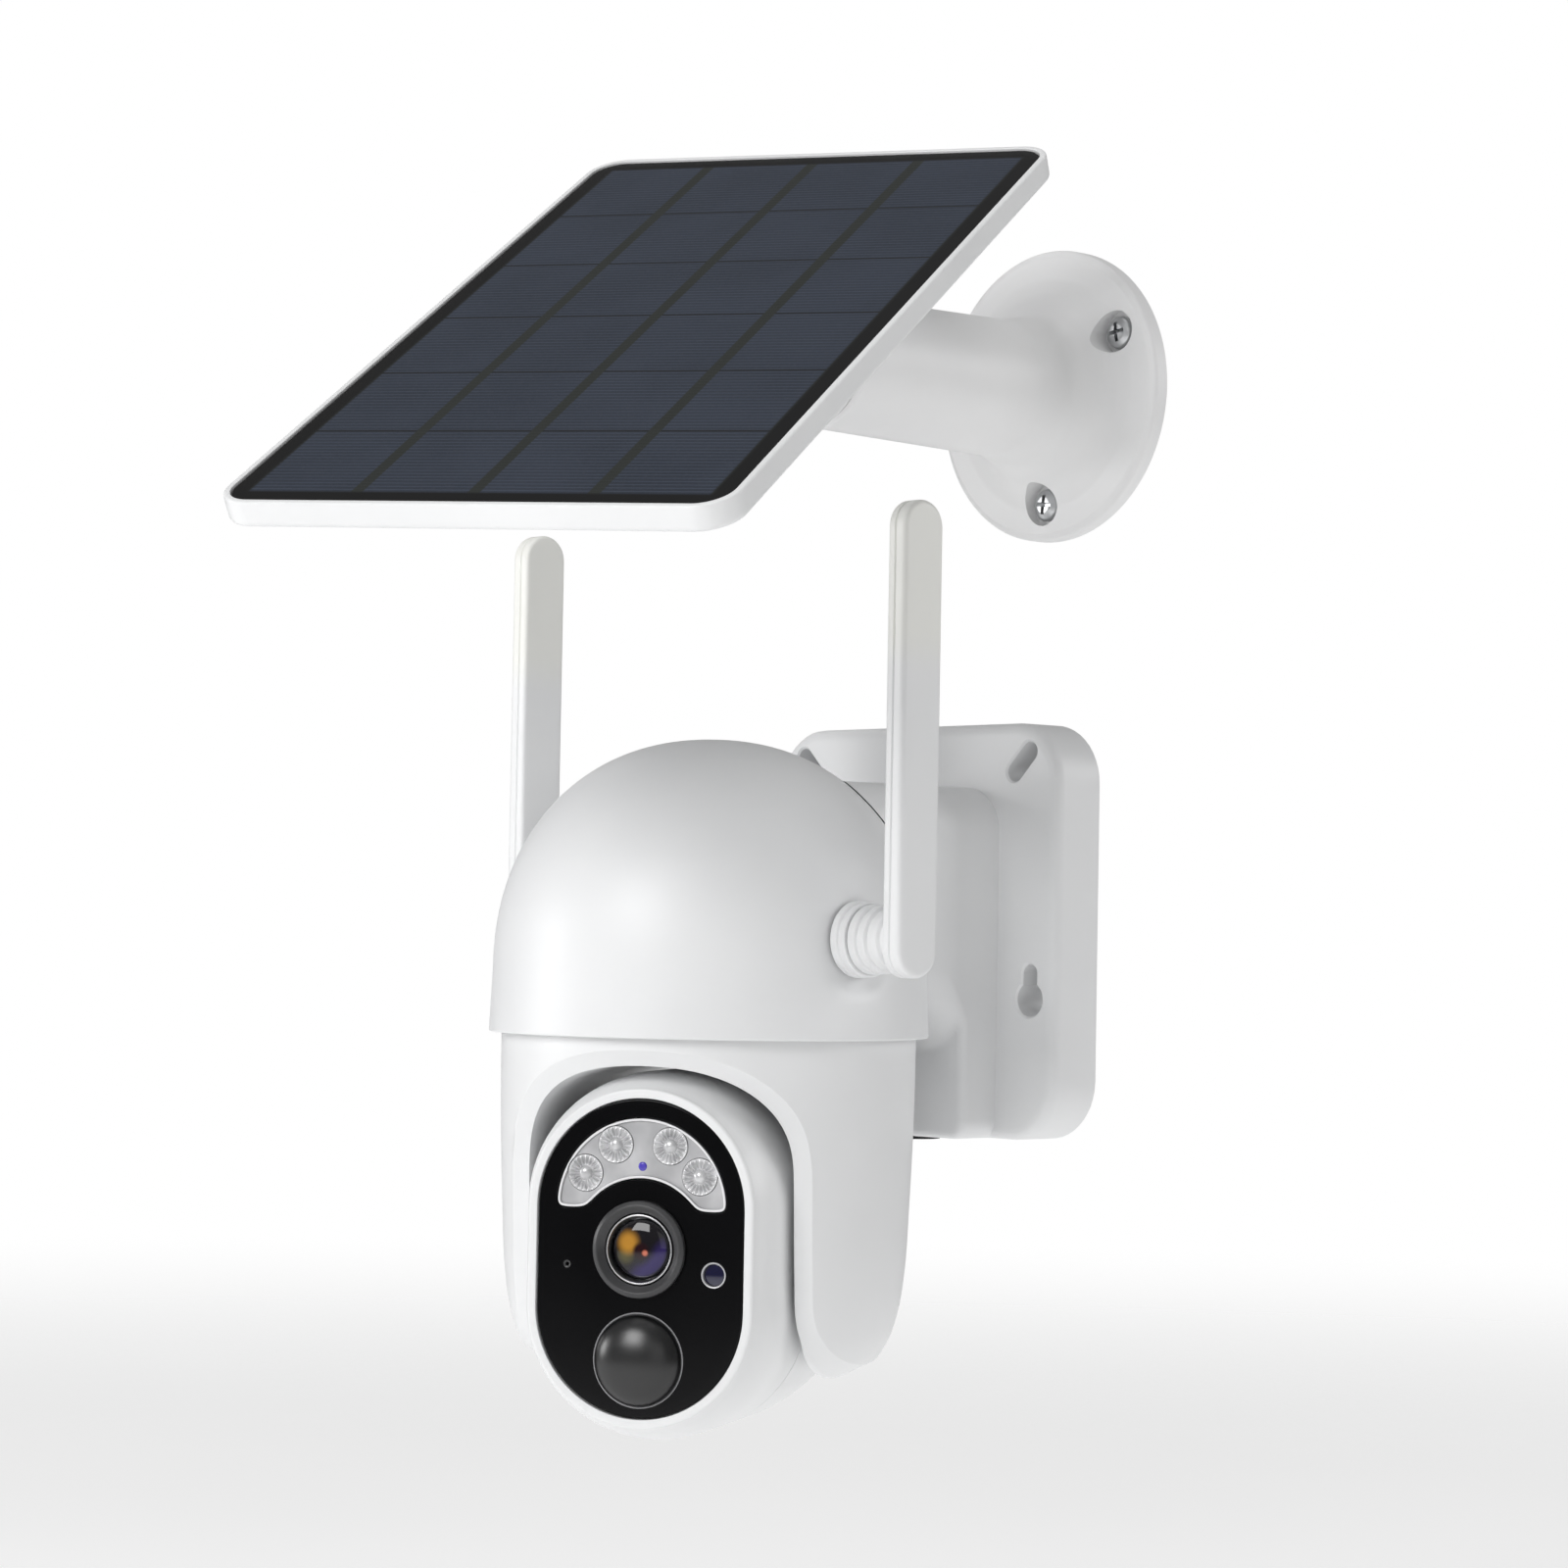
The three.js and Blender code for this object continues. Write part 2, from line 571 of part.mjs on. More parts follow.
piece(yoke, 'yoke_shell', yokeShell(), whitePlastic);
const gearPhase = (PAN_DRIVE_ANGLE - PAN_HEADING) / 360 * PAN_GEAR_TEETH;
const panGear = cut(
  flatPrism(gearOutline(PAN_GEAR_TEETH, gearPhase - Math.floor(gearPhase) + 0.5), PINION_BOTTOM, 4),
  rod(16 + GAP, -10, 10, 'z', 24),
);
piece(yoke, 'pan_gear', panGear, nylon);
piece(yoke, 'pan_lock_ring', tube(18, HUB_RADIUS + GAP, CHASSIS_TOP + 2, 16, 'z', 24), steel);
piece(yoke, 'cheek_cover_left', cheekCover(-1), whitePlastic);
piece(yoke, 'cheek_cover_right', cheekCover(1), whitePlastic);
piece(yoke, 'tilt_bearing_left', tiltBearing(-1), steel);
piece(yoke, 'tilt_bearing_right', tiltBearing(1), steel);
const tiltMotor = rod(13, -AXLE_END - 5.6, -AXLE_END - GAP, 'x', 24).translate([0, 0, TILT_DROP]);
piece(yoke, 'tilt_motor', tiltMotor, steel);

// ---------------------------------------------------------------- head, tilting in the yoke

const head = group(yoke, 0, 0, TILT_DROP);

function headOutside(inset) {
  const back = HEAD_RADIUS + HEAD_STRAIGHT - inset;
  const profile = [[0, -HEAD_FRONT - 1], [back, -HEAD_FRONT - 1]];
  const steps = 6;
  for (let i = 0; i <= steps; i += 1) {
    const angle = (i / steps) * Math.PI / 2;
    profile.push([i === steps ? 0 : back * Math.cos(angle), back * Math.sin(angle)]);
  }
  const outline = stadium(HEAD_RADIUS - inset, HEAD_STRAIGHT);
  const length = HEAD_FRONT + 60 - inset;
  const bullet = frontPrism(outline, 60, length, HEAD_EDGE, 18, 8);
  return bullet.intersect(turned(profile, 'y', 28));
}

const headInside = headOutside(SHELL);
const everything = 80;
const frontHalf = block(-everything, everything, -everything, -HEAD_SEAM, -everything, everything);
const rearHalf = block(-everything, everything, -HEAD_SEAM + GAP, everything, -everything, everything);
const headShell = cut(headOutside(0), headInside);
const coverOpening = block(
  -COVER.halfWidth - GAP, COVER.halfWidth + GAP, COVER.front - GAP, COVER.back + GAP, -60, -38);

function headFront() {
  const ledge = FACE_RECESS + FACE_THICKNESS + GAP;
  return cut(
    join(headShell.intersect(frontHalf), headOutside(0).intersect(block(-40, 40, -50, -HEAD_FRONT + 5, -50, 50))),
    frontPrism(stadium(FACE_RADIUS + GAP, HEAD_STRAIGHT), -HEAD_FRONT + ledge, 10, 0, 0, 8),
    frontPrism(stadium(FACE_RADIUS - 1.6, HEAD_STRAIGHT), -HEAD_FRONT + 12, 20, 0, 0, 8),
  );
}

function headRear() {
  const axles = [-1, 1].map((side) => {
    const pin = rod(5, HEAD_RADIUS - 5, AXLE_END, 'x', 20);
    return side > 0 ? pin : pin.mirror([1, 0, 0]);
  });
  return cut(join(headShell.intersect(rearHalf), ...axles), coverOpening);
}

function crescent(inset) {
  const outer = WINDOW.outer - inset;
  const inner = WINDOW.inner + inset;
  const end = WINDOW.end + inset;
  const outerAngle = Math.asin((end - HEAD_STRAIGHT + 2) / outer);
  const innerAngle = Math.asin((end - LENS.z) / inner);
  const outline = new THREE.Shape();
  outline.absarc(0, HEAD_STRAIGHT, outer, outerAngle, Math.PI - outerAngle);
  outline.lineTo(-outer + 1.6, end);
  outline.absarc(0, LENS.z, inner, Math.PI - innerAngle, innerAngle, true);
  outline.lineTo(outer - 1.6, end);
  return outline;
}

function facePanel() {
  const plate = frontPrism(
    stadium(FACE_RADIUS, HEAD_STRAIGHT), -HEAD_FRONT + FACE_RECESS + FACE_THICKNESS, FACE_THICKNESS, 0, 0, 8);
  const holes = [
    frontPrism(circle(LENS.outer - 1.2, 0, LENS.z), -40, 20, 0, 0, 10),
    frontPrism(circle(PIR.radius + GAP, 0, PIR.z), -40, 20, 0, 0, 10),
    frontPrism(circle(LIGHT_SENSOR.radius + GAP, LIGHT_SENSOR.x, LIGHT_SENSOR.z), -40, 20),
    frontPrism(circle(MIC.radius, MIC.x, MIC.z), -40, 20, 0, 0, 6),
    frontPrism(crescent(0), -40, 20),
  ];
  return cut(plate, ...holes);
}

const FACE_FRONT = -HEAD_FRONT + FACE_RECESS;
const FACE_BACK = FACE_FRONT + FACE_THICKNESS;

function ledCarrier() {
  const plate = frontPrism(crescent(GAP), FACE_BACK + 1.8, 3.4);
  const seats = LED_PLACES.map(([x, z]) => frontPrism(circle(LED_RADIUS + GAP, x, z), -40, 20));
  return cut(plate, ...seats);
}

function ledLens(x, z) {
  const profile = [
    [0, FACE_BACK + 1.6], [2.4, FACE_BACK + 1.6], [LED_RADIUS, FACE_FRONT + 0.6],
    [LED_RADIUS, FACE_FRONT + 0.3], [1.8, FACE_FRONT + 0.6], [0, FACE_FRONT - 0.3],
  ];
  return turned(profile, 'y', 12).translate([x, 0, z]);
}

function lensRing() {
  const profile = [
    [LENS.ring + GAP, FACE_BACK + 3], [LENS.outer - 1.6, FACE_BACK + 3], [LENS.outer - 1.6, FACE_FRONT - GAP],
    [LENS.outer, FACE_FRONT - GAP], [LENS.outer - 0.4, FACE_FRONT - 1.8], [LENS.outer - 1.4, FACE_FRONT - 2.2],
    [LENS.ring + GAP, FACE_FRONT - 0.6], [LENS.ring + GAP, FACE_BACK + 3],
  ];
  return turned(profile, 'y', 20).translate([0, 0, LENS.z]);
}

function lensBarrel() {
  const profile = [
    [0, -34], [LENS.ring, -34], [LENS.ring, FACE_FRONT - 0.5], [LENS.ring - 0.4, FACE_FRONT - 0.9],
    [LENS.glass + GAP, FACE_FRONT], [LENS.glass + GAP, FACE_FRONT + 5], [0, FACE_FRONT + 5],
  ];
  return turned(profile, 'y', 20).translate([0, 0, LENS.z]);
}

function lensGlass() {
  const profile = [
    [0, FACE_FRONT + 4.6], [LENS.glass, FACE_FRONT + 4.6], [LENS.glass, FACE_FRONT + 1],
    [LENS.glass * 0.72, FACE_FRONT + 0.2], [LENS.glass * 0.4, FACE_FRONT - 0.3], [0, FACE_FRONT - 0.5],
  ];
  return turned(profile, 'y', 20).translate([0, 0, LENS.z]);
}

function pirLens() {
  const flange = FACE_FRONT + 0.1;
  const profile = [[PIR.radius - 1, FACE_BACK + 2], [PIR.radius, FACE_BACK + 2], [PIR.radius, flange]];
  const steps = 4;
  for (let i = 1; i <= steps; i += 1) {
    const angle = (i / steps) * Math.PI / 2;
    profile.push([i === steps ? 0 : PIR.radius * Math.cos(angle), flange - PIR.proud * Math.sin(angle)]);
  }
  for (let i = steps; i >= 0; i -= 1) {
    const angle = (i / steps) * Math.PI / 2;
    profile.push([i === steps ? 0 : (PIR.radius - 1) * Math.cos(angle), flange - (PIR.proud - 1) * Math.sin(angle)]);
  }
  profile.push([PIR.radius - 1, FACE_BACK + 2]);
  return turned(profile, 'y', 16).translate([0, 0, PIR.z]);
}

function imageBoard() {
  const top = -34 + GAP;
  const board = frontPrism(stadium(22, HEAD_STRAIGHT), top + 1.6, 1.6, 0, 0, 8);
  const pirSensor = rod(4.6, -41, top, 'y', 20).translate([0, 0, PIR.z]);
  const chip = block(-8, 8, top + 1.5, top + 3.2, -6, 10);
  return join(board, pirSensor, chip);
}

function cardCover() {
  const panel = block(-COVER.halfWidth, COVER.halfWidth, COVER.front, COVER.back, -60, -38);
  return headOutside(0).intersect(panel).subtract(headOutside(1.8));
}

const BUTTONS = { reset: -5.5, power: 5.5 };
const BUTTON_Y = -7;
const BUTTON_TRAVEL = 0.8;

function headButton(x) {
  const profile = [[0, -40.4], [2, -40.4], [2, -38.2], [3, -38.2], [3, -37.2], [0, -37.2]];
  return turned(profile, 'z', 16).translate([x, BUTTON_Y, 0]);
}

function portBoard() {
  const bottom = -37.2 + BUTTON_TRAVEL + GAP;
  const board = block(-13, 13, -18, 6, bottom, bottom + 1.4);
  const cardSocket = block(-6, 6, -16, -1, bottom + 1.2, bottom + 3.4);
  return join(board, cardSocket);
}

piece(head, 'head_front', headFront(), whitePlastic);
piece(head, 'head_rear', headRear(), whitePlastic);
piece(head, 'face_panel', facePanel(), blackGloss);
piece(head, 'led_carrier', ledCarrier(), silver);
LED_PLACES.forEach(([x, z], i) => piece(head, `led_lens_${i + 1}`, ledLens(x, z), clearPlastic));
piece(head, 'lens_ring', lensRing(), darkPlastic);
piece(head, 'lens_barrel', lensBarrel(), silver);
piece(head, 'lens_glass', lensGlass(), opticalGlass);
piece(head, 'pir_lens', pirLens(), blackGloss);
const lightWindow = rod(LIGHT_SENSOR.radius, FACE_FRONT + 0.2, FACE_BACK + 1, 'y', 20);
piece(head, 'light_sensor', lightWindow.translate([LIGHT_SENSOR.x, 0, LIGHT_SENSOR.z]), sensorBlue);
piece(head, 'image_board', imageBoard(), boardGreen);
piece(head, 'port_board', portBoard(), boardGreen);
piece(head, 'card_cover', cardCover(), rubber);
piece(head, 'reset_button', headButton(BUTTONS.reset), darkPlastic);
piece(head, 'power_button', headButton(BUTTONS.power), darkPlastic);

// ---------------------------------------------------------------- solar panel's wall arm

const solar = group(model, ARM.x, 0, ARM.z);
const ARM_END = -ARM.length;

function solarArm() {
  const profile = [
    [0, 0], [PLATE_RADIUS, 0], [PLATE_RADIUS, -3], [PLATE_RADIUS - 0.8, -4.5], [PLATE_RADIUS - 2.4, -5],
    [30, -5.6], [26, -6.6], [23, -8.4], [20.6, -11.4], [18.9, -15.5], [TUBE_ROOT, -22],
    [TUBE_END + 0.1, ARM_END + 1], [TUBE_END - 0.8, ARM_END], [0, ARM_END],
  ];
  const holes = ARM_HOLES.angles.map((angle) => {
    const bore = rod(ARM_HOLES.bore, -10, 2, 'y', 10);
    const counterbore = rod(ARM_HOLES.counterbore, -10, -2.6, 'y', 14);
    const [x, z] = onCircle(ARM_HOLES.circle, angle);
    return join(bore, counterbore).translate([x, 0, z]);
  });
  const stud = rod(4 + GAP, ARM_END - 2, 0, 'y', 20);
  return cut(turned(profile, 'y', 28), rod(12.5, ARM_END + 6, 2, 'y', 16), stud, ...holes);
}

function wallScrew(angle) {
  const profile = [
    [0, -5.4], [2.2, -5.2], [3.6, -4.5], [4.3, -3.3], [4.3, -2.9], [2.1, -2.9], [2.1, -GAP], [0, -GAP],
  ];
  const arm = 0.55;
  const cross = [
    block(-2.4, 2.4, -7, -4, -arm, arm),
    block(-arm, arm, -7, -4, -2.4, 2.4),
  ];
  const [x, z] = onCircle(ARM_HOLES.circle, angle);
  return cut(turned(profile, 'y', 12), ...cross).rotate([0, angle * 0.7, 0]).translate([x, 0, z]);
}

piece(solar, 'solar_arm', solarArm(), whitePlastic);
ARM_HOLES.angles.forEach((angle, i) => piece(solar, `solar_screw_${i + 1}`, wallScrew(angle), steel));

// ---------------------------------------------------------------- swivel head, turning about the arm

const swivel = group(solar, 0, -HINGE_REACH, 0);
swivel.rotation.y = radians(ARM_ROLL);
const SWIVEL_START = HINGE_REACH - ARM.length - GAP;      // swivel head's wall end, from the hinge

function swivelHead() {
  const barrel = turned([
    [0, SWIVEL_START], [TUBE_END - 0.6, SWIVEL_START], [TUBE_END + 0.4, SWIVEL_START - 1],
    [TUBE_END + 0.4, 0], [TUBE_END - 1.2, -2.6], [12, -4], [0, -4],
  ], 'y', 24);
  const footRoom = block(-30, 30, -20, 9, -3, 30);
  const tongueSide = new THREE.Shape();
  tongueSide.moveTo(10, KNUCKLE_RADIUS);
  tongueSide.absarc(0, 0, KNUCKLE_RADIUS, Math.PI / 2, 1.5 * Math.PI);
  tongueSide.lineTo(10, -KNUCKLE_RADIUS);
  const tongue = sidePrism(tongueSide, -TONGUE_HALF, 2 * TONGUE_HALF);
  const lugRoom = [-1, 1].map((side) => {
    const room = rod(KNUCKLE_RADIUS + 1.2, TONGUE_HALF, 20, 'x', 20);
    return side > 0 ? room : room.mirror([1, 0, 0]);
  });
  const stud = rod(4, SWIVEL_START - 1, SWIVEL_START + 13, 'y', 20);
  return cut(join(cut(barrel, footRoom), tongue, stud), ...lugRoom, rod(3 + GAP, -20, 20, 'x', 20));
}

piece(swivel, 'swivel_head', swivelHead(), whitePlastic);
const nutPlace = SWIVEL_START + GAP + 6 + GAP;
const swivelNut = cut(
  frontPrism(circle(7.5), nutPlace + 4.5, 4.5, 0, 0, 3),
  rod(4 + GAP, nutPlace - 2, nutPlace + 6, 'y', 20),
);
piece(swivel, 'swivel_nut', swivelNut, steel);

// ---------------------------------------------------------------- bracket, tilting about the hinge bolt

const hinge = group(swivel, 0, 0, 0);
hinge.rotation.x = radians(PANEL_TILT);
const LUG_WIDTH = 6;
const LUG_START = TONGUE_HALF + GAP;

function panelBracket() {
  const lugSide = new THREE.Shape();
  lugSide.absarc(0, 0, KNUCKLE_RADIUS, Math.PI, 2 * Math.PI);
  lugSide.lineTo(KNUCKLE_RADIUS, 2);
  lugSide.lineTo(5, HINGE_RISE - FOOT_THICKNESS / 2);
  lugSide.lineTo(-KNUCKLE_RADIUS - 8, HINGE_RISE - FOOT_THICKNESS / 2);
  const lugs = [LUG_START, -LUG_START - LUG_WIDTH].map((x) => sidePrism(lugSide, x, LUG_WIDTH));
  const foot = flatPrism(circle(FOOT_RADIUS, 0, -FOOT_OFFSET), HINGE_RISE - FOOT_THICKNESS - GAP, FOOT_THICKNESS, 0.6, 12);
  const bolt = rod(3 + GAP, -30, 30, 'x', 20);
  const screwBore = rod(2.5 + GAP, 0, 30, 'z', 16).translate([0, -FOOT_OFFSET, 0]);
  return cut(join(foot, ...lugs), bolt, screwBore);
}

const BOLT_SIDE = LUG_START + LUG_WIDTH + GAP;

function hingeBolt() {
  const head = flatPrism(circle(5.6), 0, 3.2, 0.5, 8).rotate([0, 90, 0]).translate([BOLT_SIDE, 0, 0]);
  return join(head, rod(3, -BOLT_SIDE - 5, BOLT_SIDE + 1, 'x', 20));
}

function hingeNut() {
  const hexagon = new THREE.Shape();
  for (let i = 0; i < 6; i += 1) {
    const [y, z] = onCircle(5.6, 60 * i);
    if (i === 0) hexagon.moveTo(y, z);
    else hexagon.lineTo(y, z);
  }
  return cut(sidePrism(hexagon, -BOLT_SIDE - 4, 4), rod(3 + GAP, -30, 0, 'x', 20));
}

piece(hinge, 'panel_bracket', panelBracket(), whitePlastic);
piece(hinge, 'hinge_bolt', hingeBolt(), steel);
piece(hinge, 'hinge_nut', hingeNut(), steel);

// ---------------------------------------------------------------- solar panel, turning on the bracket's foot

const panel = group(hinge, 0, -FOOT_OFFSET, HINGE_RISE);
panel.rotation.z = radians(PANEL_TURN);
const GLASS_SINK = 0.5;
const GLASS_THICKNESS = 2;

function panelOutline(inset) {
  const [w, l] = [PANEL.width / 2 - inset, PANEL.length / 2 - inset];
  return roundedRect(-w, w, -l - PANEL.shift, l - PANEL.shift, PANEL.corner - inset);
}

function panelFrame() {
  const tray = flatPrism(panelOutline(0), 0, PANEL.thickness, 1.4);
  const seatBottom = PANEL.thickness - GLASS_SINK - GLASS_THICKNESS - GAP;
  const recess = flatPrism(panelOutline(PANEL.rim), seatBottom, 10);
  const well = flatPrism(panelOutline(6), 2, 10);
  const hub = rod(8, 0, seatBottom, 'z', 20);
  const outletRoom = rod(5.3, -2, 4, 'z', 20).translate([0, PANEL.outlet, 0]);
  return cut(join(cut(tray, recess, well), hub), rod(2 + GAP, -2, 5, 'z', 16), outletRoom);
}

function laminate() {
  return flatPrism(panelOutline(PANEL.rim + GAP), PANEL.thickness - GLASS_SINK - GLASS_THICKNESS, GLASS_THICKNESS);
}

function turnScrew() {
  const head = -FOOT_THICKNESS - GAP;
  const profile = [
    [0, head - 2.4], [4, head - 2.4], [4.8, head - 1.6], [4.8, head - GAP], [2, head - GAP], [2, 3.3], [0, 3.3],
  ];
  return turned(profile, 'z', 20);
}

function panelOutlet() {
  const profile = [
    [0, -4], [2.2, -4], [2.2, -8], [4, -8], [6.5, -4.5], [6.5, -GAP], [5, -GAP], [5, 3.3], [0, 3.3],
  ];
  return turned(profile, 'z', 16);
}

piece(panel, 'panel_frame', panelFrame(), whitePlastic);
piece(panel, 'panel_laminate', laminate(), solarCells);
piece(panel, 'turn_screw', turnScrew(), steel);
piece(panel, 'panel_outlet', panelOutlet().translate([0, PANEL.outlet, 0]), rubber);

export default model;
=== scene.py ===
import json
import math

import bmesh
import bpy
import numpy as np
from mathutils import Matrix, Vector


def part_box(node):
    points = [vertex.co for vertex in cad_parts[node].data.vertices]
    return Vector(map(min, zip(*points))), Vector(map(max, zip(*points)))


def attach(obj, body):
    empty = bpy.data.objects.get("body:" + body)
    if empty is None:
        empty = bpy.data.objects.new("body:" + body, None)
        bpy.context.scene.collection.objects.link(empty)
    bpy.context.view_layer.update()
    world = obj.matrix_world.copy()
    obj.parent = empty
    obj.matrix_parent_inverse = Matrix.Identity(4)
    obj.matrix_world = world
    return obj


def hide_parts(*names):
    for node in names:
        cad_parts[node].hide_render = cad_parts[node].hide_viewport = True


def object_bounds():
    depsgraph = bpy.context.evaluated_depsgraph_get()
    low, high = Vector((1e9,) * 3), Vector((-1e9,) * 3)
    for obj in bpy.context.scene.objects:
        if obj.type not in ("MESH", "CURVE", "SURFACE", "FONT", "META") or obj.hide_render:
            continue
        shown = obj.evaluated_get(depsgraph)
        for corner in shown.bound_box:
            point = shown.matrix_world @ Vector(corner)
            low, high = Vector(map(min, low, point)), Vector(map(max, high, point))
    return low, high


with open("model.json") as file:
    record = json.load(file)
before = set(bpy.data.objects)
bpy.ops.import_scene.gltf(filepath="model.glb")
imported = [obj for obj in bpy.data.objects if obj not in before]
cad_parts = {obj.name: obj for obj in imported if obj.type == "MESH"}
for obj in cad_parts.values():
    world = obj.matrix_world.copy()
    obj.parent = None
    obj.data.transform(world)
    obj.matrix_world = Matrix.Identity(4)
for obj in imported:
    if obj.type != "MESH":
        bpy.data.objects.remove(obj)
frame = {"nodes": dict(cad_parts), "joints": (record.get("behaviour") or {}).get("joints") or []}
cad_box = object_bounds()
nodes = frame["nodes"]
joints = {joint["name"]: joint for joint in frame["joints"]}

# ------------------------------------------------------------------------------------------------
# The studio: a long lens a metre away, just under the camera hood and well round to its right,
# a pale floor below the hanging object, and soft boxes in front, above and behind.

VIEW_ROUND, VIEW_UP, VIEW_ROLL = (math.radians(angle) for angle in (47.05, -2.15, 1.01))
VIEW_DISTANCE = 0.9998
VIEW_ASIDE, VIEW_ABOVE = -0.0006, 0.0637
LENS_LENGTH = 90

back = Vector((
    math.sin(VIEW_ROUND) * math.cos(VIEW_UP),
    -math.cos(VIEW_ROUND) * math.cos(VIEW_UP),
    math.sin(VIEW_UP),
))
level = Vector((math.cos(VIEW_ROUND), math.sin(VIEW_ROUND), 0))
upright = back.cross(level)
camera_right = level * math.cos(VIEW_ROLL) + upright * math.sin(VIEW_ROLL)
camera_up = upright * math.cos(VIEW_ROLL) - level * math.sin(VIEW_ROLL)
hood_low, hood_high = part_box("hood")
aim = Vector((0, -0.06, hood_low.z)) + camera_right * VIEW_ASIDE + camera_up * VIEW_ABOVE

lens_data = bpy.data.cameras.new("view")
lens_data.lens = LENS_LENGTH
view_camera = bpy.data.objects.new("view", lens_data)
bpy.context.scene.collection.objects.link(view_camera)
turn = Matrix((camera_right, camera_up, back)).transposed().to_4x4()
view_camera.matrix_world = Matrix.Translation(aim + back * VIEW_DISTANCE) @ turn
bpy.context.scene.camera = view_camera
bpy.context.scene.view_settings.view_transform = "Standard"


def softbox(name, place, size, power):
    """A square area light at a place round the object, turned towards its middle."""
    light = bpy.data.lights.new(name, "AREA")
    light.shape = "SQUARE"
    light.size = size
    light.energy = power
    lamp = bpy.data.objects.new(name, light)
    bpy.context.scene.collection.objects.link(lamp)
    middle = (cad_box[0] + cad_box[1]) / 2
    spot = middle + Vector(place)
    facing = (spot - middle).to_track_quat("Z", "Y").to_matrix().to_4x4()
    lamp.matrix_world = Matrix.Translation(spot) @ facing


softbox("key", (0.25, -1.7, 0.8), 0.8, 17)
softbox("left", (-1.3, -1.3, 0.15), 0.5, 7)
softbox("fill", (1.5, -1.2, 0.3), 1.0, 2)
softbox("top", (0.1, -0.3, 2.0), 1.2, 9)
softbox("rim", (1.2, 1.5, 0.6), 0.8, 8)


class Wire:
    """The value that a node gives out. Sums, products and powers of wires add Math nodes."""

    def __init__(self, sheet, socket):
        self.sheet = sheet
        self.socket = socket

    def work(self, operation, first, second):
        return self.sheet.node("Math", {"operation": operation}, {0: first, 1: second})

    def __add__(self, other):
        return self.work("ADD", self, other)

    def __sub__(self, other):
        return self.work("SUBTRACT", self, other)

    def __rsub__(self, other):
        return self.work("SUBTRACT", other, self)

    def __mul__(self, other):
        return self.work("MULTIPLY", self, other)

    def __mod__(self, other):
        return self.work("FLOORED_MODULO", self, other)

    def __pow__(self, other):
        return self.work("POWER", self, other)

    def __abs__(self):
        return self.work("ABSOLUTE", self, 0)

    def ramp(self, start, end):
        """0 below start and 1 above end, with a smooth step between, or the other way round."""
        return self.sheet.node(
            "MapRange",
            {"interpolation_type": "SMOOTHSTEP"},
            {"Value": self, "From Min": start, "From Max": end},
        )

    __radd__ = __add__
    __rmul__ = __mul__


class Sheet:
    """A node tree that is written as expressions."""

    def __init__(self, tree):
        self.tree = tree

    def feed(self, socket, value):
        if isinstance(value, Wire):
            self.tree.links.new(value.socket, socket)
        elif isinstance(value, tuple) and len(value) == 3 and socket.type == "RGBA":
            socket.default_value = (*value, 1)
        else:
            socket.default_value = value

    def node(self, kind, settings=(), values=(), out=0):
        """One node of a kind: its settings first, then the values or wires of its sockets."""
        made = self.tree.nodes.new("ShaderNode" + kind)
        for name, setting in dict(settings).items():
            setattr(made, name, setting)
        for socket, value in dict(values).items():
            self.feed(made.inputs[socket], value)
        return Wire(self, made.outputs[out])

    def place(self):
        return self.node("TexCoord", out="Object")

    def axes(self, place=None):
        spot = place or self.place()
        return [self.node("SeparateXYZ", (), {0: spot}, out=axis) for axis in "XYZ"]

    def noise(self, scale, detail=2, place=None):
        spot = place or self.place()
        return self.node("TexNoise", (), {"Vector": spot, "Scale": scale, "Detail": detail})

    def mix(self, share, first, second):
        """A colour between two colours."""
        return self.node("Mix", {"data_type": "RGBA"}, {0: share, 6: first, 7: second}, out=2)


world = bpy.data.worlds.new("studio")
bpy.context.scene.world = world
world.use_nodes = True
room = Sheet(world.node_tree)
height = room.axes(room.node("TexCoord", out="Generated"))[2]
seen = room.node("LightPath", out="Is Camera Ray")
glow = 0.18 + 0.18 * height
sky = world.node_tree.nodes["Background"]
room.feed(sky.inputs["Color"], (1.0, 1.0, 1.0))
room.feed(sky.inputs["Strength"], glow + seen * (1 - glow))


class Finish(Sheet):
    """A material: constants on the shader's own sockets, and painted colour, gloss and relief."""

    def __init__(self, name, **constants):
        self.material = bpy.data.materials.new(name)
        self.material.use_nodes = True
        super().__init__(self.material.node_tree)
        self.shader = self.tree.nodes["Principled BSDF"]
        for socket, value in constants.items():
            self.paint(socket.replace("_", " "), value)

    def paint(self, socket, value):
        self.feed(self.shader.inputs[socket], value)

    def colour(self, share, first, second):
        """Paints a colour between two colours."""
        self.paint("Base Color", self.mix(share, first, second))

    def relief(self, height, depth):
        """Raises the surface by a height from 0 to 1, depth metres at most."""
        bump = self.node("Bump", (), {"Height": height, "Distance": depth, "Strength": 1.0})
        self.paint("Normal", bump)


FLOOR_DROP = 0.16
FLOOR_RADIUS = 2.6
FLOOR_FADE = 0.7

floor_paint = Finish("pale floor", Roughness=0.75, Emission_Strength=0.3)
across, along, _ = floor_paint.axes()
reach = (across * across + along * along) ** 0.5
floor_paint.colour(floor_paint.noise(3), (0.93, 0.93, 0.93), (0.96, 0.96, 0.96))
shine = floor_paint.mix(floor_paint.noise(3), (0.97, 0.97, 0.97), (1.0, 1.0, 1.0))
floor_paint.paint("Emission Color", shine)
floor_paint.paint("Alpha", reach.ramp(FLOOR_RADIUS, FLOOR_FADE))
floor_mesh = bpy.data.meshes.new("floor")
round_floor = np.linspace(0, 2 * math.pi, 97)[:-1]
rim = [(math.cos(a) * FLOOR_RADIUS, math.sin(a) * FLOOR_RADIUS, 0) for a in round_floor]
floor_mesh.from_pydata(rim, [], [tuple(range(len(rim)))])
floor_mesh.materials.append(floor_paint.material)
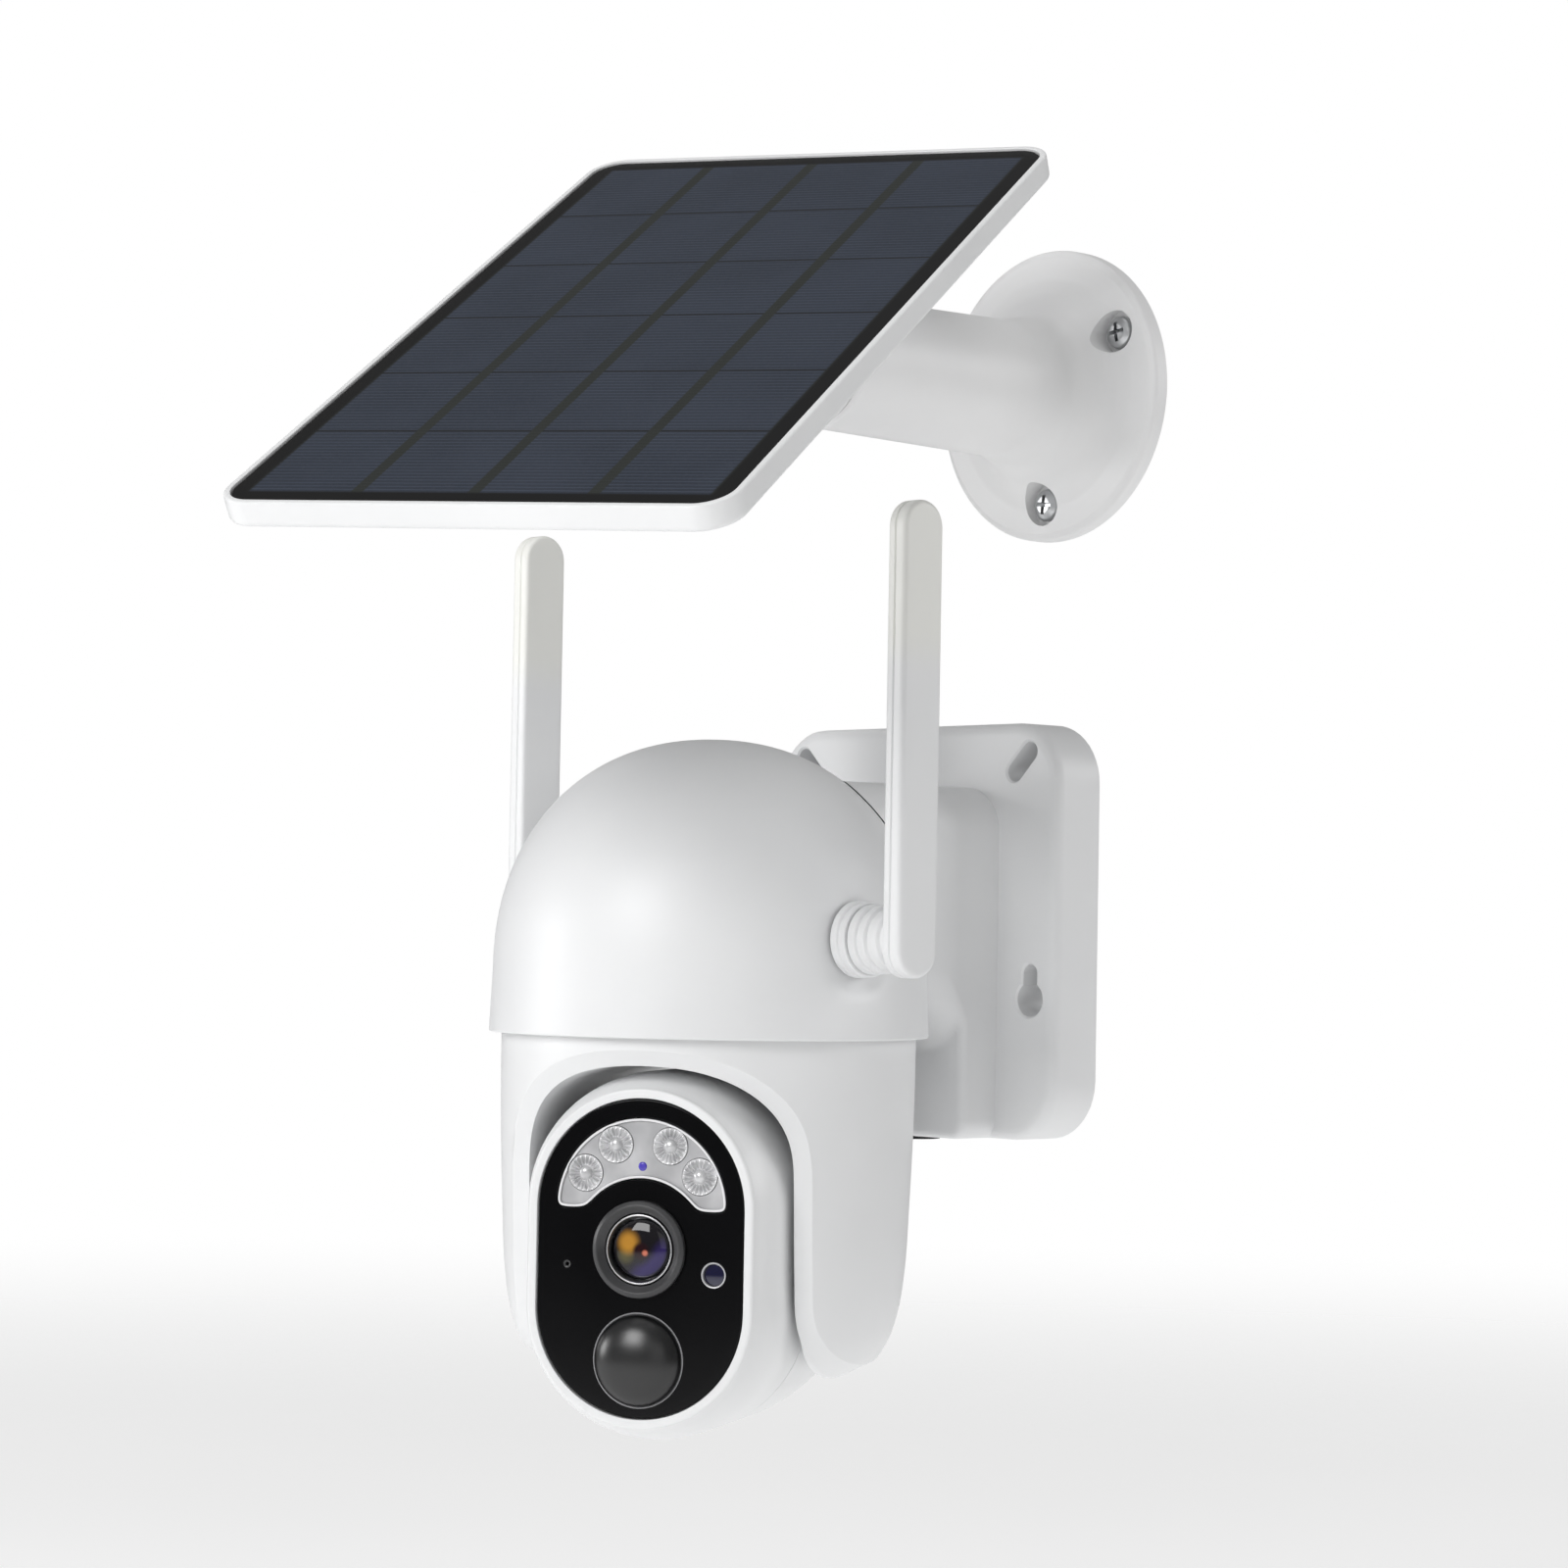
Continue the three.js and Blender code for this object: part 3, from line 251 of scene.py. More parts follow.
floor = bpy.data.objects.new("floor", floor_mesh)
floor.location = (0, 0, cad_box[0].z - FLOOR_DROP)
bpy.context.scene.collection.objects.link(floor)

# ------------------------------------------------------------------------------------------------
# Wall box: one injection moulding in off-white ABS, open at the back. A shallow rounded tray with
# a raised block, and a neck that carries the hood. Two keyholes and two slots take wall screws.

MM = 0.001
BOX_WIDTH, BOX_HEIGHT, BOX_DEPTH, BOX_CORNER = 104, 106.8, 16, 15.5
BOX_EDGE = 3.5
BLOCK_HALF, BLOCK_TOP, BLOCK_FRONT = 31.8, 37, 28
NECK_LOW, NECK_SWEEP = -21, 15
DOME_AXIS = hood_low.y / 2 / MM + hood_high.y / 2 / MM
SKIRT_HEIGHT = hood_low.z / MM
SKIRT_RADIUS, DOME_RADIUS, DOME_SPRING, DOME_RISE, DOME_POWER = 55, 54.3, 16, 57.8, 2.15
WALL_SCREW_HOLE = {"x": 43.1, "z": -17.4, "radius": 4.4, "slot": 2.4, "rise": 9}
CORNER_SLOT = {"x": 39.3, "z": 43.4, "radius": 2.6, "half": 3.6}

FACINGS = {
    "front": lambda u, v, h: (u, -h, v),
    "side": lambda u, v, h: (h, u, v),
    "up": lambda u, v, h: (u, v, h),
}


def stood(line, height, facing):
    """A flat outline as points in space, at a height along the way it faces."""
    level_height = np.broadcast_to(height, len(line))
    return np.stack(FACINGS[facing](line[:, 0], line[:, 1], level_height), 1)


def circle(radius, steps=96, middle=(0, 0)):
    angles = np.linspace(0, 2 * math.pi, steps, endpoint=False)
    return np.stack([middle[0] + radius * np.cos(angles), middle[1] + radius * np.sin(angles)], 1)


def rounded(left, right, low, high, radii, steps=12):
    """A rectangle with the radii of its corners: low right, high right, high left, low left."""
    radii = np.broadcast_to(radii, 4)
    corners = [(right, low), (right, high), (left, high), (left, low)]
    inward = [(-1, 1), (-1, -1), (1, -1), (1, 1)]
    parts = []
    for i, (corner, way, radius) in enumerate(zip(corners, inward, radii)):
        angles = np.radians(np.linspace(-90 + 90 * i, 90 * i, steps))
        middle = np.array(corner) + radius * np.array(way)
        parts.append(middle + radius * np.stack([np.cos(angles), np.sin(angles)], 1))
    line = np.concatenate(parts)
    return line[np.linalg.norm(line - np.roll(line, 1, 0), axis=1) > 1e-4]


def stadium(radius, straight, steps=48):
    """Two half circles joined by upright sides of twice the straight."""
    angles = np.linspace(0, math.pi, steps)
    top = np.stack([radius * np.cos(angles), straight + radius * np.sin(angles)], 1)
    sides = np.linspace(straight, -straight, 10)[1:-1]
    left = np.stack([np.full(8, -radius), sides], 1)
    return np.concatenate([top, left, -top, -left])


def inset(line, depth):
    """A closed outline moved inwards."""
    before = line - np.roll(line, 1, 0)
    after = np.roll(line, -1, 0) - line
    before /= np.linalg.norm(before, axis=1)[:, None]
    after /= np.linalg.norm(after, axis=1)[:, None]
    along = before + after
    along /= np.linalg.norm(along, axis=1)[:, None]
    stretch = depth / np.maximum(0.3, (along * after).sum(1))
    return line + np.stack([-along[:, 1], along[:, 0]], 1) * stretch[:, None]


def eased(corners, steps=5):
    """A line through corners, each an arc of its third number's radius where it has one."""
    line = []
    for i, corner in enumerate(corners):
        point = np.array(corner[:2], float)
        if len(corner) < 3 or i in (0, len(corners) - 1):
            line.append(tuple(point))
            continue
        arms = [np.array(corners[i + k][:2], float) - point for k in (-1, 1)]
        lengths = [np.linalg.norm(arm) for arm in arms]
        ways = [arm / length for arm, length in zip(arms, lengths)]
        half = math.acos(np.clip(ways[0] @ ways[1], -1, 1)) / 2
        reach = min(corner[2] / math.tan(half), 0.48 * lengths[0], 0.48 * lengths[1])
        start, end = point + ways[0] * reach, point + ways[1] * reach
        for t in np.linspace(0, 1, steps):
            line.append(tuple((1 - t) ** 2 * start + 2 * t * (1 - t) * point + t ** 2 * end))
    return line


def skin(rings, hollow=False):
    """A surface through rings of points, with its ends closed, or the last ring joined to the first."""
    count = len(rings[0])
    pairs = [(i, i + 1) for i in range(len(rings) - 1)]
    faces = []
    if hollow:
        pairs.append((len(rings) - 1, 0))
    else:
        faces = [tuple(range(count)), tuple(range((len(rings) - 1) * count, len(rings) * count))]
    for low, high in pairs:
        for i in range(count):
            j = (i + 1) % count
            faces.append((low * count + i, low * count + j, high * count + j, high * count + i))
    return np.concatenate(rings), faces


def loft(outline, profile, facing, hollow=False):
    """An outline carried through a profile of (inset, height) pairs."""
    return skin([stood(inset(outline, depth), height, facing) for depth, height in profile], hollow)


def turned(profile, facing, steps=96, hollow=False, middle=(0, 0)):
    """A profile of (radius, height) pairs turned about its middle."""
    rings = [stood(circle(radius, steps, middle), height, facing) for radius, height in profile]
    return skin(rings, hollow)


def shade(mesh, angle=38):
    mesh.shade_smooth()
    mesh.set_sharp_from_angle(angle=math.radians(angle))


def make(name, shapes, finish, place=Matrix.Identity(4)):
    """A Blender object from shapes in millimetres, standing at a place."""
    points, faces = [], []
    for shape_points, shape_faces in shapes:
        faces += [tuple(i + len(points) for i in face) for face in shape_faces]
        points += [tuple(float(x) * MM for x in point) for point in shape_points]
    mesh = bpy.data.meshes.new(name)
    mesh.from_pydata(points, [], faces)
    work = bmesh.new()
    work.from_mesh(mesh)
    bmesh.ops.remove_doubles(work, verts=work.verts, dist=2e-6)
    bmesh.ops.recalc_face_normals(work, faces=work.faces)
    work.to_mesh(mesh)
    work.free()
    mesh.materials.append(finish.material)
    shade(mesh)
    piece = bpy.data.objects.new(name, mesh)
    bpy.context.scene.collection.objects.link(piece)
    piece.matrix_world = place
    return piece


def settle(piece):
    """The piece's mesh with its modifiers worked in."""
    depsgraph = bpy.context.evaluated_depsgraph_get()
    mesh = bpy.data.meshes.new_from_object(piece.evaluated_get(depsgraph))
    piece.modifiers.clear()
    piece.data = mesh
    shade(mesh)


def machine(piece, shapes, operation="DIFFERENCE"):
    """Cuts shapes out of a piece, or joins them to it. Shapes in one list don't touch each other."""
    tool = make("tool", shapes, floor_paint, piece.matrix_world)
    change = piece.modifiers.new("cut", "BOOLEAN")
    change.operation = operation
    change.solver = "EXACT"
    change.object = tool
    settle(piece)
    bpy.data.objects.remove(tool)


def trim(piece, edge=0.0, steps=2, angle=50):
    """Rounds the piece's sharp edges and evens its shading, so that flats stay flat."""
    if edge:
        bevel = piece.modifiers.new("edges", "BEVEL")
        bevel.width = edge * MM
        bevel.segments = steps
        bevel.limit_method = "ANGLE"
        bevel.angle_limit = math.radians(angle)
        bevel.use_clamp_overlap = True
        settle(piece)
    even = piece.modifiers.new("even shading", "WEIGHTED_NORMAL")
    even.keep_sharp = True


def fit(piece, body, slot, *stands_for, **rounding):
    """Trims a piece and says which body carries it and the nodes it stands for. The slot is not used."""
    trim(piece, **rounding)
    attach(piece, body)
    if stands_for:
        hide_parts(*stands_for)


GRAIN_SCALE = 2300


def moulded(name, pale, deep, gloss=0.4, grain=0.000012):
    """Injection moulded plastic: a nearly even colour, a fine spark-eroded grain, and a gloss that
    changes a little where the melt flowed and where hands have been."""
    finish = Finish(name, Specular_IOR_Level=0.45)
    cloud = finish.noise(16, 3)
    touch = finish.noise(70, 4)
    finish.colour(cloud.ramp(0.3, 0.7), deep, pale)
    finish.paint("Roughness", gloss - 0.05 + 0.1 * touch)
    finish.relief(finish.noise(GRAIN_SCALE, 2), grain)
    return finish


def dome_radius(height, outward=0.0):
    """The hood's radius at a height above its bottom edge."""
    height = np.asarray(height, float)
    straight = SKIRT_RADIUS - (SKIRT_RADIUS - DOME_RADIUS) * np.clip(height, 0, DOME_SPRING) / DOME_SPRING
    share = np.clip((height - DOME_SPRING) / (DOME_RISE + outward), 0, 1)
    return (straight + outward) * (1 - share ** DOME_POWER) ** (1 / DOME_POWER)


camera_white = moulded("camera ABS", (0.80, 0.805, 0.81), (0.765, 0.77, 0.778))

tray = rounded(-BOX_WIDTH / 2, BOX_WIDTH / 2, -BOX_HEIGHT / 2, BOX_HEIGHT / 2, BOX_CORNER)
tray_profile = eased([
    (2.4, 3), (2.4, 0, 0.3), (0, 0, 0.4), (0, BOX_DEPTH, BOX_EDGE), (BOX_EDGE + 3, BOX_DEPTH),
])
wall_box = make("wall_box_shell", [loft(tray, tray_profile, "front")], camera_white)

block = rounded(-BLOCK_HALF, BLOCK_HALF, -BOX_HEIGHT / 2 + 0.02, BLOCK_TOP, (5, 12, 12, 5))
block_profile = eased([(0.01, 8), (0, BLOCK_FRONT, 3), (5, BLOCK_FRONT)], 7)
machine(wall_box, [loft(block, block_profile, "front")], "UNION")

neck_half = BLOCK_HALF - 0.04
neck_rings = []
for share in np.linspace(0, 1, 9):
    drop = NECK_SWEEP - math.sqrt(NECK_SWEEP ** 2 - (NECK_SWEEP * (1 - share)) ** 2)
    depth = NECK_SWEEP * share if share else -2
    ring = rounded(-neck_half, neck_half, NECK_LOW - drop, BLOCK_TOP - 0.04, (13, 12, 12, 13))
    reach = depth if share < 1 else NECK_SWEEP * 0.98
    neck_rings.append(stood(ring, BLOCK_FRONT + reach, "front"))
for closing in (0, 4, 9, 14, 19):
    line = inset(ring, closing)
    around = dome_radius(line[:, 1] - SKIRT_HEIGHT, 0.3)
    deep = -DOME_AXIS - np.sqrt(np.maximum(around ** 2 - line[:, 0] ** 2, 1))
    neck_rings.append(stood(line, deep, "front"))
machine(wall_box, [skin(neck_rings)], "UNION")

mouth = [(0, -2), (0, BOX_DEPTH - 0.5), (-0.6, BOX_DEPTH + 0.1), (-0.6, BOX_DEPTH + 2)]
for side in (-1, 1):
    x, z = side * WALL_SCREW_HOLE["x"], WALL_SCREW_HOLE["z"]
    slot = WALL_SCREW_HOLE["slot"]
    channel = rounded(x - slot, x + slot, z, z + WALL_SCREW_HOLE["rise"], slot)
    machine(wall_box, [loft(circle(WALL_SCREW_HOLE["radius"], 48, (x, z)), mouth, "front")])
    machine(wall_box, [loft(channel, mouth, "front")])
    tilt = math.radians(-45 * side)
    lie = np.array([[math.cos(tilt), math.sin(tilt)], [-math.sin(tilt), math.cos(tilt)]])
    slanted = stadium(CORNER_SLOT["radius"], CORNER_SLOT["half"], 16) @ lie
    slanted = slanted + np.array([side * CORNER_SLOT["x"], CORNER_SLOT["z"]])
    machine(wall_box, [loft(slanted, mouth, "front")])
inlet_bore = [(5.8, -BOX_HEIGHT / 2 - 3), (5.8, -BOX_HEIGHT / 2 + 8)]
machine(wall_box, [turned(inlet_bore, "up", 48, middle=(0, -14))])
fit(wall_box, "wall_body", "white_plastic", "wall_box")

# ------------------------------------------------------------------------------------------------
# Back plate, its seal and screws, the battery and the charging socket: the plate closes the box
# on a rubber seal with four small screws. The socket is a soft black plug-hole in the underside.

back_white = moulded("back plate ABS", (0.74, 0.745, 0.75), (0.70, 0.705, 0.71), 0.5)


def dress(finish, *names):
    """Gives a finish to CAD nodes whose shape stays."""
    for name in names:
        materials = nodes[name].data.materials
        materials.clear()
        materials.append(finish.material)


def soft_rubber(name, tone):
    finish = Finish(name, Specular_IOR_Level=0.3)
    dust = finish.noise(60, 5)
    pale = tuple(min(1, 1.5 * part + 0.01) for part in tone)
    finish.colour(dust.ramp(0.35, 0.75), tone, pale)
    finish.paint("Roughness", 0.7 + 0.2 * dust)
    finish.relief(finish.noise(1500, 3), 0.00002)
    return finish


def plated(name, tone, gloss=0.3):
    """Zinc plated or stainless steel, with fine marks of turning and rolling."""
    finish = Finish(name, Metallic=1.0)
    place = finish.place()
    streaks = finish.node("VectorMath", {"operation": "MULTIPLY"}, {0: place, 1: (1, 1, 14)})
    marks = finish.noise(260, 3, streaks)
    stain = finish.noise(90, 4)
    finish.colour(stain.ramp(0.3, 0.8), tone, tuple(part * 0.8 for part in tone))
    finish.paint("Roughness", gloss - 0.06 + 0.16 * marks)
    finish.relief(marks, 0.000006)
    return finish


black_rubber = soft_rubber("black rubber", (0.018, 0.018, 0.02))
screw_steel = plated("plated screws", (0.62, 0.63, 0.64))
dress(back_white, "back_plate")
dress(black_rubber, "box_seal")


def screw_shapes(head_radius, shank_radius, top, seat, end):
    """A round screw head and its shank, along the way it is driven."""
    return turned(eased([
        (0, top), (head_radius * 0.55, top - 0.12, 2), (head_radius * 0.93, top - 0.4 * (top - seat), 1.2),
        (head_radius, seat, 0.15), (shank_radius, seat), (shank_radius, end), (0, end),
    ], 6), "front", 40)


def cross_shapes(radius, top, deep, arm):
    """The cutter for a cross recess: one plus-shaped prism with a tapered foot."""
    corners = [(arm, arm), (arm, radius), (-arm, radius), (-arm, arm), (-radius, arm), (-radius, -arm),
               (-arm, -arm), (-arm, -radius), (arm, -radius), (arm, -arm), (radius, -arm), (radius, arm)]
    plus = np.array(corners, float)
    rings = [stood(plus, top + 1, "front"), stood(plus, top, "front"), stood(plus * 0.62, deep, "front")]
    return skin(rings)


for i in range(1, 5):
    low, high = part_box(f"plate_screw_{i}")
    middle = Matrix.Translation(((low.x + high.x) / 2, 0, (low.z + high.z) / 2))
    screw = make(f"plate_screw_{i}_visual", [screw_shapes(2.8, 1.3, -0.4, -1.3, -9)], screw_steel,
                 middle @ Matrix.Rotation(math.pi, 4, "Z"))
    machine(screw, [cross_shapes(1.7, -0.4, -1.1, 0.35)])
    fit(screw, "wall_body", "steel", f"plate_screw_{i}")

battery_blue = Finish("battery wrap", Roughness=0.32, Coat_Weight=0.3)
wrinkle = battery_blue.noise(120, 4)
battery_blue.colour(wrinkle, (0.02, 0.12, 0.36), (0.035, 0.19, 0.5))
battery_blue.relief(wrinkle, 0.00006)
dress(battery_blue, "battery_pack")

inlet_low, inlet_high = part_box("charge_inlet")
INLET_FLANGE = inlet_low.z / MM
inlet_profile = eased([
    (0, INLET_FLANGE + 7.3), (3.2, INLET_FLANGE + 7.3), (3.2, INLET_FLANGE, 0.5), (7.4, INLET_FLANGE, 0.5),
    (7.4, INLET_FLANGE + 1), (5.5, INLET_FLANGE + 1), (5.5, INLET_FLANGE + 10.3), (0, INLET_FLANGE + 10.3),
])
inlet_place = Matrix.Translation(((inlet_low.x + inlet_high.x) / 2, (inlet_low.y + inlet_high.y) / 2, 0))
inlet = make("charge_inlet_visual", [turned(inlet_profile, "up", 48)], black_rubber, inlet_place)
fit(inlet, "wall_body", "rubber", "charge_inlet")

# ------------------------------------------------------------------------------------------------
# Hood: a bullet-shaped shell in the same off-white ABS, screwed to the neck. Its skirt hangs a
# little proud of the yoke below, and a soft dish on each side takes an antenna socket.

HOOD_BORE, HOOD_WALL, CHASSIS_HEIGHT = 52.5, 2.8, 11.3
ANTENNA_PAD, ANTENNA_PIVOT, DISH_RADIUS = 52.8, 24.5, 15

hood_place = Matrix.Translation((0, DOME_AXIS * MM, SKIRT_HEIGHT * MM))
rise = np.linspace(0, math.pi / 2, 44)[1:]
outer_heights = DOME_SPRING + DOME_RISE * np.sin(rise) ** (2 / DOME_POWER)
skirt_heights = np.linspace(1.5, DOME_SPRING, 11)
outside = [(float(dome_radius(h)), float(h)) for h in (*skirt_heights, *outer_heights)]
outside[-1] = (0, outside[-1][1])
inside_heights = DOME_SPRING + (DOME_RISE - HOOD_WALL) * np.sin(rise[::3]) ** (2 / DOME_POWER)
inside = [(float(dome_radius(h, -HOOD_WALL)), float(h)) for h in inside_heights]
lip = eased([(HOOD_BORE, 11), (HOOD_BORE, 0, 0.4), (SKIRT_RADIUS, 0, 0.55), outside[0]], 5)
hood_profile = [(0, DOME_SPRING + DOME_RISE - HOOD_WALL), *inside[::-1][1:],
                (HOOD_BORE - 1, CHASSIS_HEIGHT), *lip, *outside[1:]]
hood_points, hood_faces = turned(hood_profile, "up", 224)
from_socket = np.hypot(hood_points[:, 1], hood_points[:, 2] - ANTENNA_PIVOT)
level_in = np.clip((DISH_RADIUS - from_socket) / 5.5, 0, 1)
level_in = level_in ** 2 * (3 - 2 * level_in)
proud = np.abs(hood_points[:, 0]) - ANTENNA_PAD
hood_points[:, 0] -= np.sign(hood_points[:, 0]) * np.where(proud > -0.6, (proud + 0.6) * level_in, 0)
hood = make("hood_shell", [(hood_points, hood_faces)], camera_white, hood_place)
fit(hood, "wall_body", "white_plastic", "hood")

# ------------------------------------------------------------------------------------------------
# Inside the hood: a dark chassis plate that carries the pan motor, the bearing and the main
# board, and the nylon gears that turn the yoke. They show only from below, through the gap.

dark_plastic = moulded("dark chassis plastic", (0.035, 0.035, 0.04), (0.025, 0.025, 0.03), 0.5, 0.00002)
gear_nylon = moulded("gear nylon", (0.78, 0.76, 0.68), (0.72, 0.70, 0.61), 0.48, 0.000008)
motor_steel = plated("motor can", (0.55, 0.56, 0.58), 0.34)

board_green = Finish("green circuit board", Specular_IOR_Level=0.5)
across, along, _ = board_green.axes()
tracks = (((across + along) % 0.0032) - 0.0016).ramp(0.0006, 0.0009)
pads = board_green.node("TexVoronoi", (), {"Vector": board_green.place(), "Scale": 420}).ramp(0.22, 0.16)
copper = board_green.mix(tracks, (0.012, 0.09, 0.035), (0.02, 0.15, 0.06))
board_green.colour(pads, copper, (0.55, 0.45, 0.2))
board_green.paint("Roughness", 0.55 - 0.2 * pads)
board_green.relief(tracks + pads, 0.00003)

dress(dark_plastic, "chassis_plate", "speaker")
dress(motor_steel, "pan_bearing", "pan_motor", "pan_lock_ring", "tilt_bearing_left", "tilt_bearing_right",
      "tilt_motor")
dress(board_green, "main_board", "image_board", "port_board")
dress(gear_nylon, "pan_gear", "pan_pinion")

# ------------------------------------------------------------------------------------------------
# Antennas: two flat paddles in ABS, each moulded in two halves that meet in a groove round the
# edge, on a ribbed hub that swivels in a socket on the hood. The tips get a warmer painted colour:
# painted light that shows through them.

SOCKET_END = 57.5
BLADE_INNER, BLADE_OUTER, BLADE_WIDTH = 67.7, 73.7, 13
BLADE_BELOW, BLADE_ABOVE = 9, 104.9
TIP_GLOW_START = 0.062

antenna_white = Finish("antenna ABS", Specular_IOR_Level=0.45)
height = antenna_white.axes()[2]
# Painted light: a warmer colour on the tips stands in for light that shows through them.
painted_tip_glow = height.ramp(TIP_GLOW_START, TIP_GLOW_START + 0.012)
cloud = antenna_white.noise(30, 3)
body_tone = antenna_white.mix(cloud, (0.76, 0.765, 0.77), (0.80, 0.805, 0.81))
antenna_white.colour(painted_tip_glow, body_tone, (0.80, 0.80, 0.765))
antenna_white.paint("Roughness", 0.36 + 0.08 * cloud)
antenna_white.relief(antenna_white.noise(GRAIN_SCALE, 2), 0.000008)

blade_middle = (BLADE_ABOVE - BLADE_BELOW) / 2
blade_line = stadium(BLADE_WIDTH / 2, (BLADE_ABOVE + BLADE_BELOW - BLADE_WIDTH) / 2, 40) + [0, blade_middle]
seam = (BLADE_INNER + BLADE_OUTER) / 2 - 0.4
blade_profile = eased([
    (3.2, BLADE_INNER), (0, BLADE_INNER, 1.7), (0, seam - 0.35, 0.12), (0.4, seam - 0.1), (0.4, seam + 0.1),
    (0, seam + 0.35, 0.12), (0, BLADE_OUTER, 1.7), (3.2, BLADE_OUTER),
], 6)
hub_profile = eased([
    (0, 55), (4, 55), (4, 57.8), (8.4, 57.8, 0.4), (8.4, 60.2, 0.4), (7.7, 60.5), (7.7, 61.0),
    (8.2, 61.3, 0.4), (8.2, 63.2, 0.4), (7.3, 63.6), (7.3, 66.4, 0.6), (6.4, 67), (6.4, 68.8), (0, 68.8),
], 4)
socket_profile = eased([
    (4.3, 53.1), (9.3, 53.1), (9.3, 54.9, 0.4), (8.7, 55.2), (8.7, 55.5), (9.1, 55.8, 0.3),
    (9.1, SOCKET_END, 0.5), (4.3, SOCKET_END),
], 4)
pivot_place = hood_place @ Matrix.Translation((0, 0, ANTENNA_PIVOT * MM))
for side, facing_out in (("left", Matrix.Rotation(math.pi, 4, "Z")), ("right", Matrix.Identity(4))):
    socket = make(f"antenna_socket_{side}_visual", [turned(socket_profile, "side", 72, True)], camera_white,
                  pivot_place @ facing_out)
    fit(socket, "wall_body", "white_plastic", f"antenna_socket_{side}")
    antenna = make(f"antenna_{side}_visual", [loft(blade_line, blade_profile, "side"),
                                              turned(hub_profile, "side", 64)],
                   antenna_white, pivot_place @ facing_out)
    fit(antenna, f"antenna_{side}", "white_plastic", f"antenna_{side}")

# ------------------------------------------------------------------------------------------------
# Yoke: a barrel in off-white ABS that turns under the hood. An arch right through it leaves two
# cheeks, with a sloping rim round the opening, and a cover inside each cheek over the tilt drive.

ARCH_HALF, ARCH_TOP, ARCH_SPRING, ARCH_POWER = 34, -6.6, -32, 2.4
YOKE_TOP, CHEEK_TURN, CHEEK_END = 6.5, -60, -83.5
RIM_WIDTH, RIM_DEPTH = 3.8, 2.9
BARREL = np.array([
    (-86, 34), (-84.5, 37), (-81, 42), (-76, 45.6), (-68, 48.4), (-58, 49.9), (-42, 50.8), (-24, 51.5),
    (-6, 51.8), (10, 51.8),
])
tilt_place = Vector(joints["tilt"]["pos_m"])
tilt_axis = Vector(joints["tilt"]["axis"])


def standing_at(place, side_way, up_way):
    """A place with X to the side, Z up and Y square to both."""
    up_way = Vector(up_way).normalized()
    depth_way = up_way.cross(Vector(side_way)).normalized()
    side_way = depth_way.cross(up_way)
    return Matrix.Translation(place) @ Matrix((side_way, depth_way, up_way)).transposed().to_4x4()


yoke_place = standing_at(joints["pan"]["pos_m"], tilt_axis, (0, 0, 1))


def barrel_radius(height):
    """A smooth curve through the barrel's measured radii."""
    xs, ys = BARREL[:, 0], BARREL[:, 1]
    slopes = np.gradient(ys, xs)
    i = np.clip(np.searchsorted(xs, height) - 1, 0, len(xs) - 2)
    width = xs[i + 1] - xs[i]
    t = (height - xs[i]) / width
    return (ys[i] * (1 + 2 * t) * (1 - t) ** 2 + slopes[i] * width * t * (1 - t) ** 2
            + ys[i + 1] * t ** 2 * (3 - 2 * t) + slopes[i + 1] * width * t ** 2 * (t - 1))


def evenly(line, count):
    """The same line with its points evenly spaced."""
    length = np.concatenate([[0], np.cumsum(np.linalg.norm(np.diff(line, axis=0), axis=1))])
    spots = np.linspace(0, length[-1], count)
    return np.stack([np.interp(spots, length, line[:, k]) for k in range(line.shape[1])], 1)


QUARTER = 88
sweep = np.linspace(0, math.pi / 2, 120)
arch = np.stack([ARCH_HALF * np.sin(sweep) ** (2 / ARCH_POWER),
                 ARCH_SPRING + (ARCH_TOP - ARCH_SPRING) * np.cos(sweep) ** (2 / ARCH_POWER)], 1)
sides = np.linspace(ARCH_SPRING, CHEEK_TURN, 30)[1:]
arch = np.concatenate([arch, np.stack([np.full(29, ARCH_HALF), sides], 1)])
way = np.arcsin(arch[:, 0] / (barrel_radius(arch[:, 1]) - RIM_DEPTH))
foot = np.linspace(0, math.pi / 2, 80)[1:]
foot_height = CHEEK_TURN + (CHEEK_END - CHEEK_TURN) * np.sin(foot) ** (2 / ARCH_POWER)
foot_way = math.pi / 2 - (math.pi / 2 - way[-1]) * np.cos(foot) ** (2 / ARCH_POWER)
edge = np.concatenate([np.stack([way, arch[:, 1]], 1), np.stack([foot_way, foot_height], 1)])
edge[:, 0] *= SKIRT_RADIUS
edge = evenly(edge, QUARTER)
for _ in range(6):
    edge[1:-1] = (edge[:-2] + 2 * edge[1:-1] + edge[2:]) / 4
lean = np.gradient(edge, axis=0)
lean /= np.linalg.norm(lean, axis=1)[:, None]
outward = np.stack([-lean[:, 1], lean[:, 0]], 1)
outward[0] = outward[-1] = (0, 1)


def all_round(quarter):
    """Four mirrored quarters, each (way round, height, depth below the barrel), as one ring."""
    way, height, depth = quarter
    ways = np.concatenate([way, (math.pi - way)[::-1][1:], (math.pi + way)[1:],
                           (2 * math.pi - way)[::-1][1:-1]])
    heights = np.concatenate([height, height[::-1][1:], height[1:], height[::-1][1:-1]])
    radius = barrel_radius(heights) - depth
    return np.stack([radius * np.sin(ways), -radius * np.cos(ways), heights], 1)


def edge_ring(apart, depth):
    """The ring that runs a distance away from the arch's edge, below the barrel's surface."""
    moved = edge + outward * apart
    return all_round((moved[:, 0] / SKIRT_RADIUS, moved[:, 1], depth))


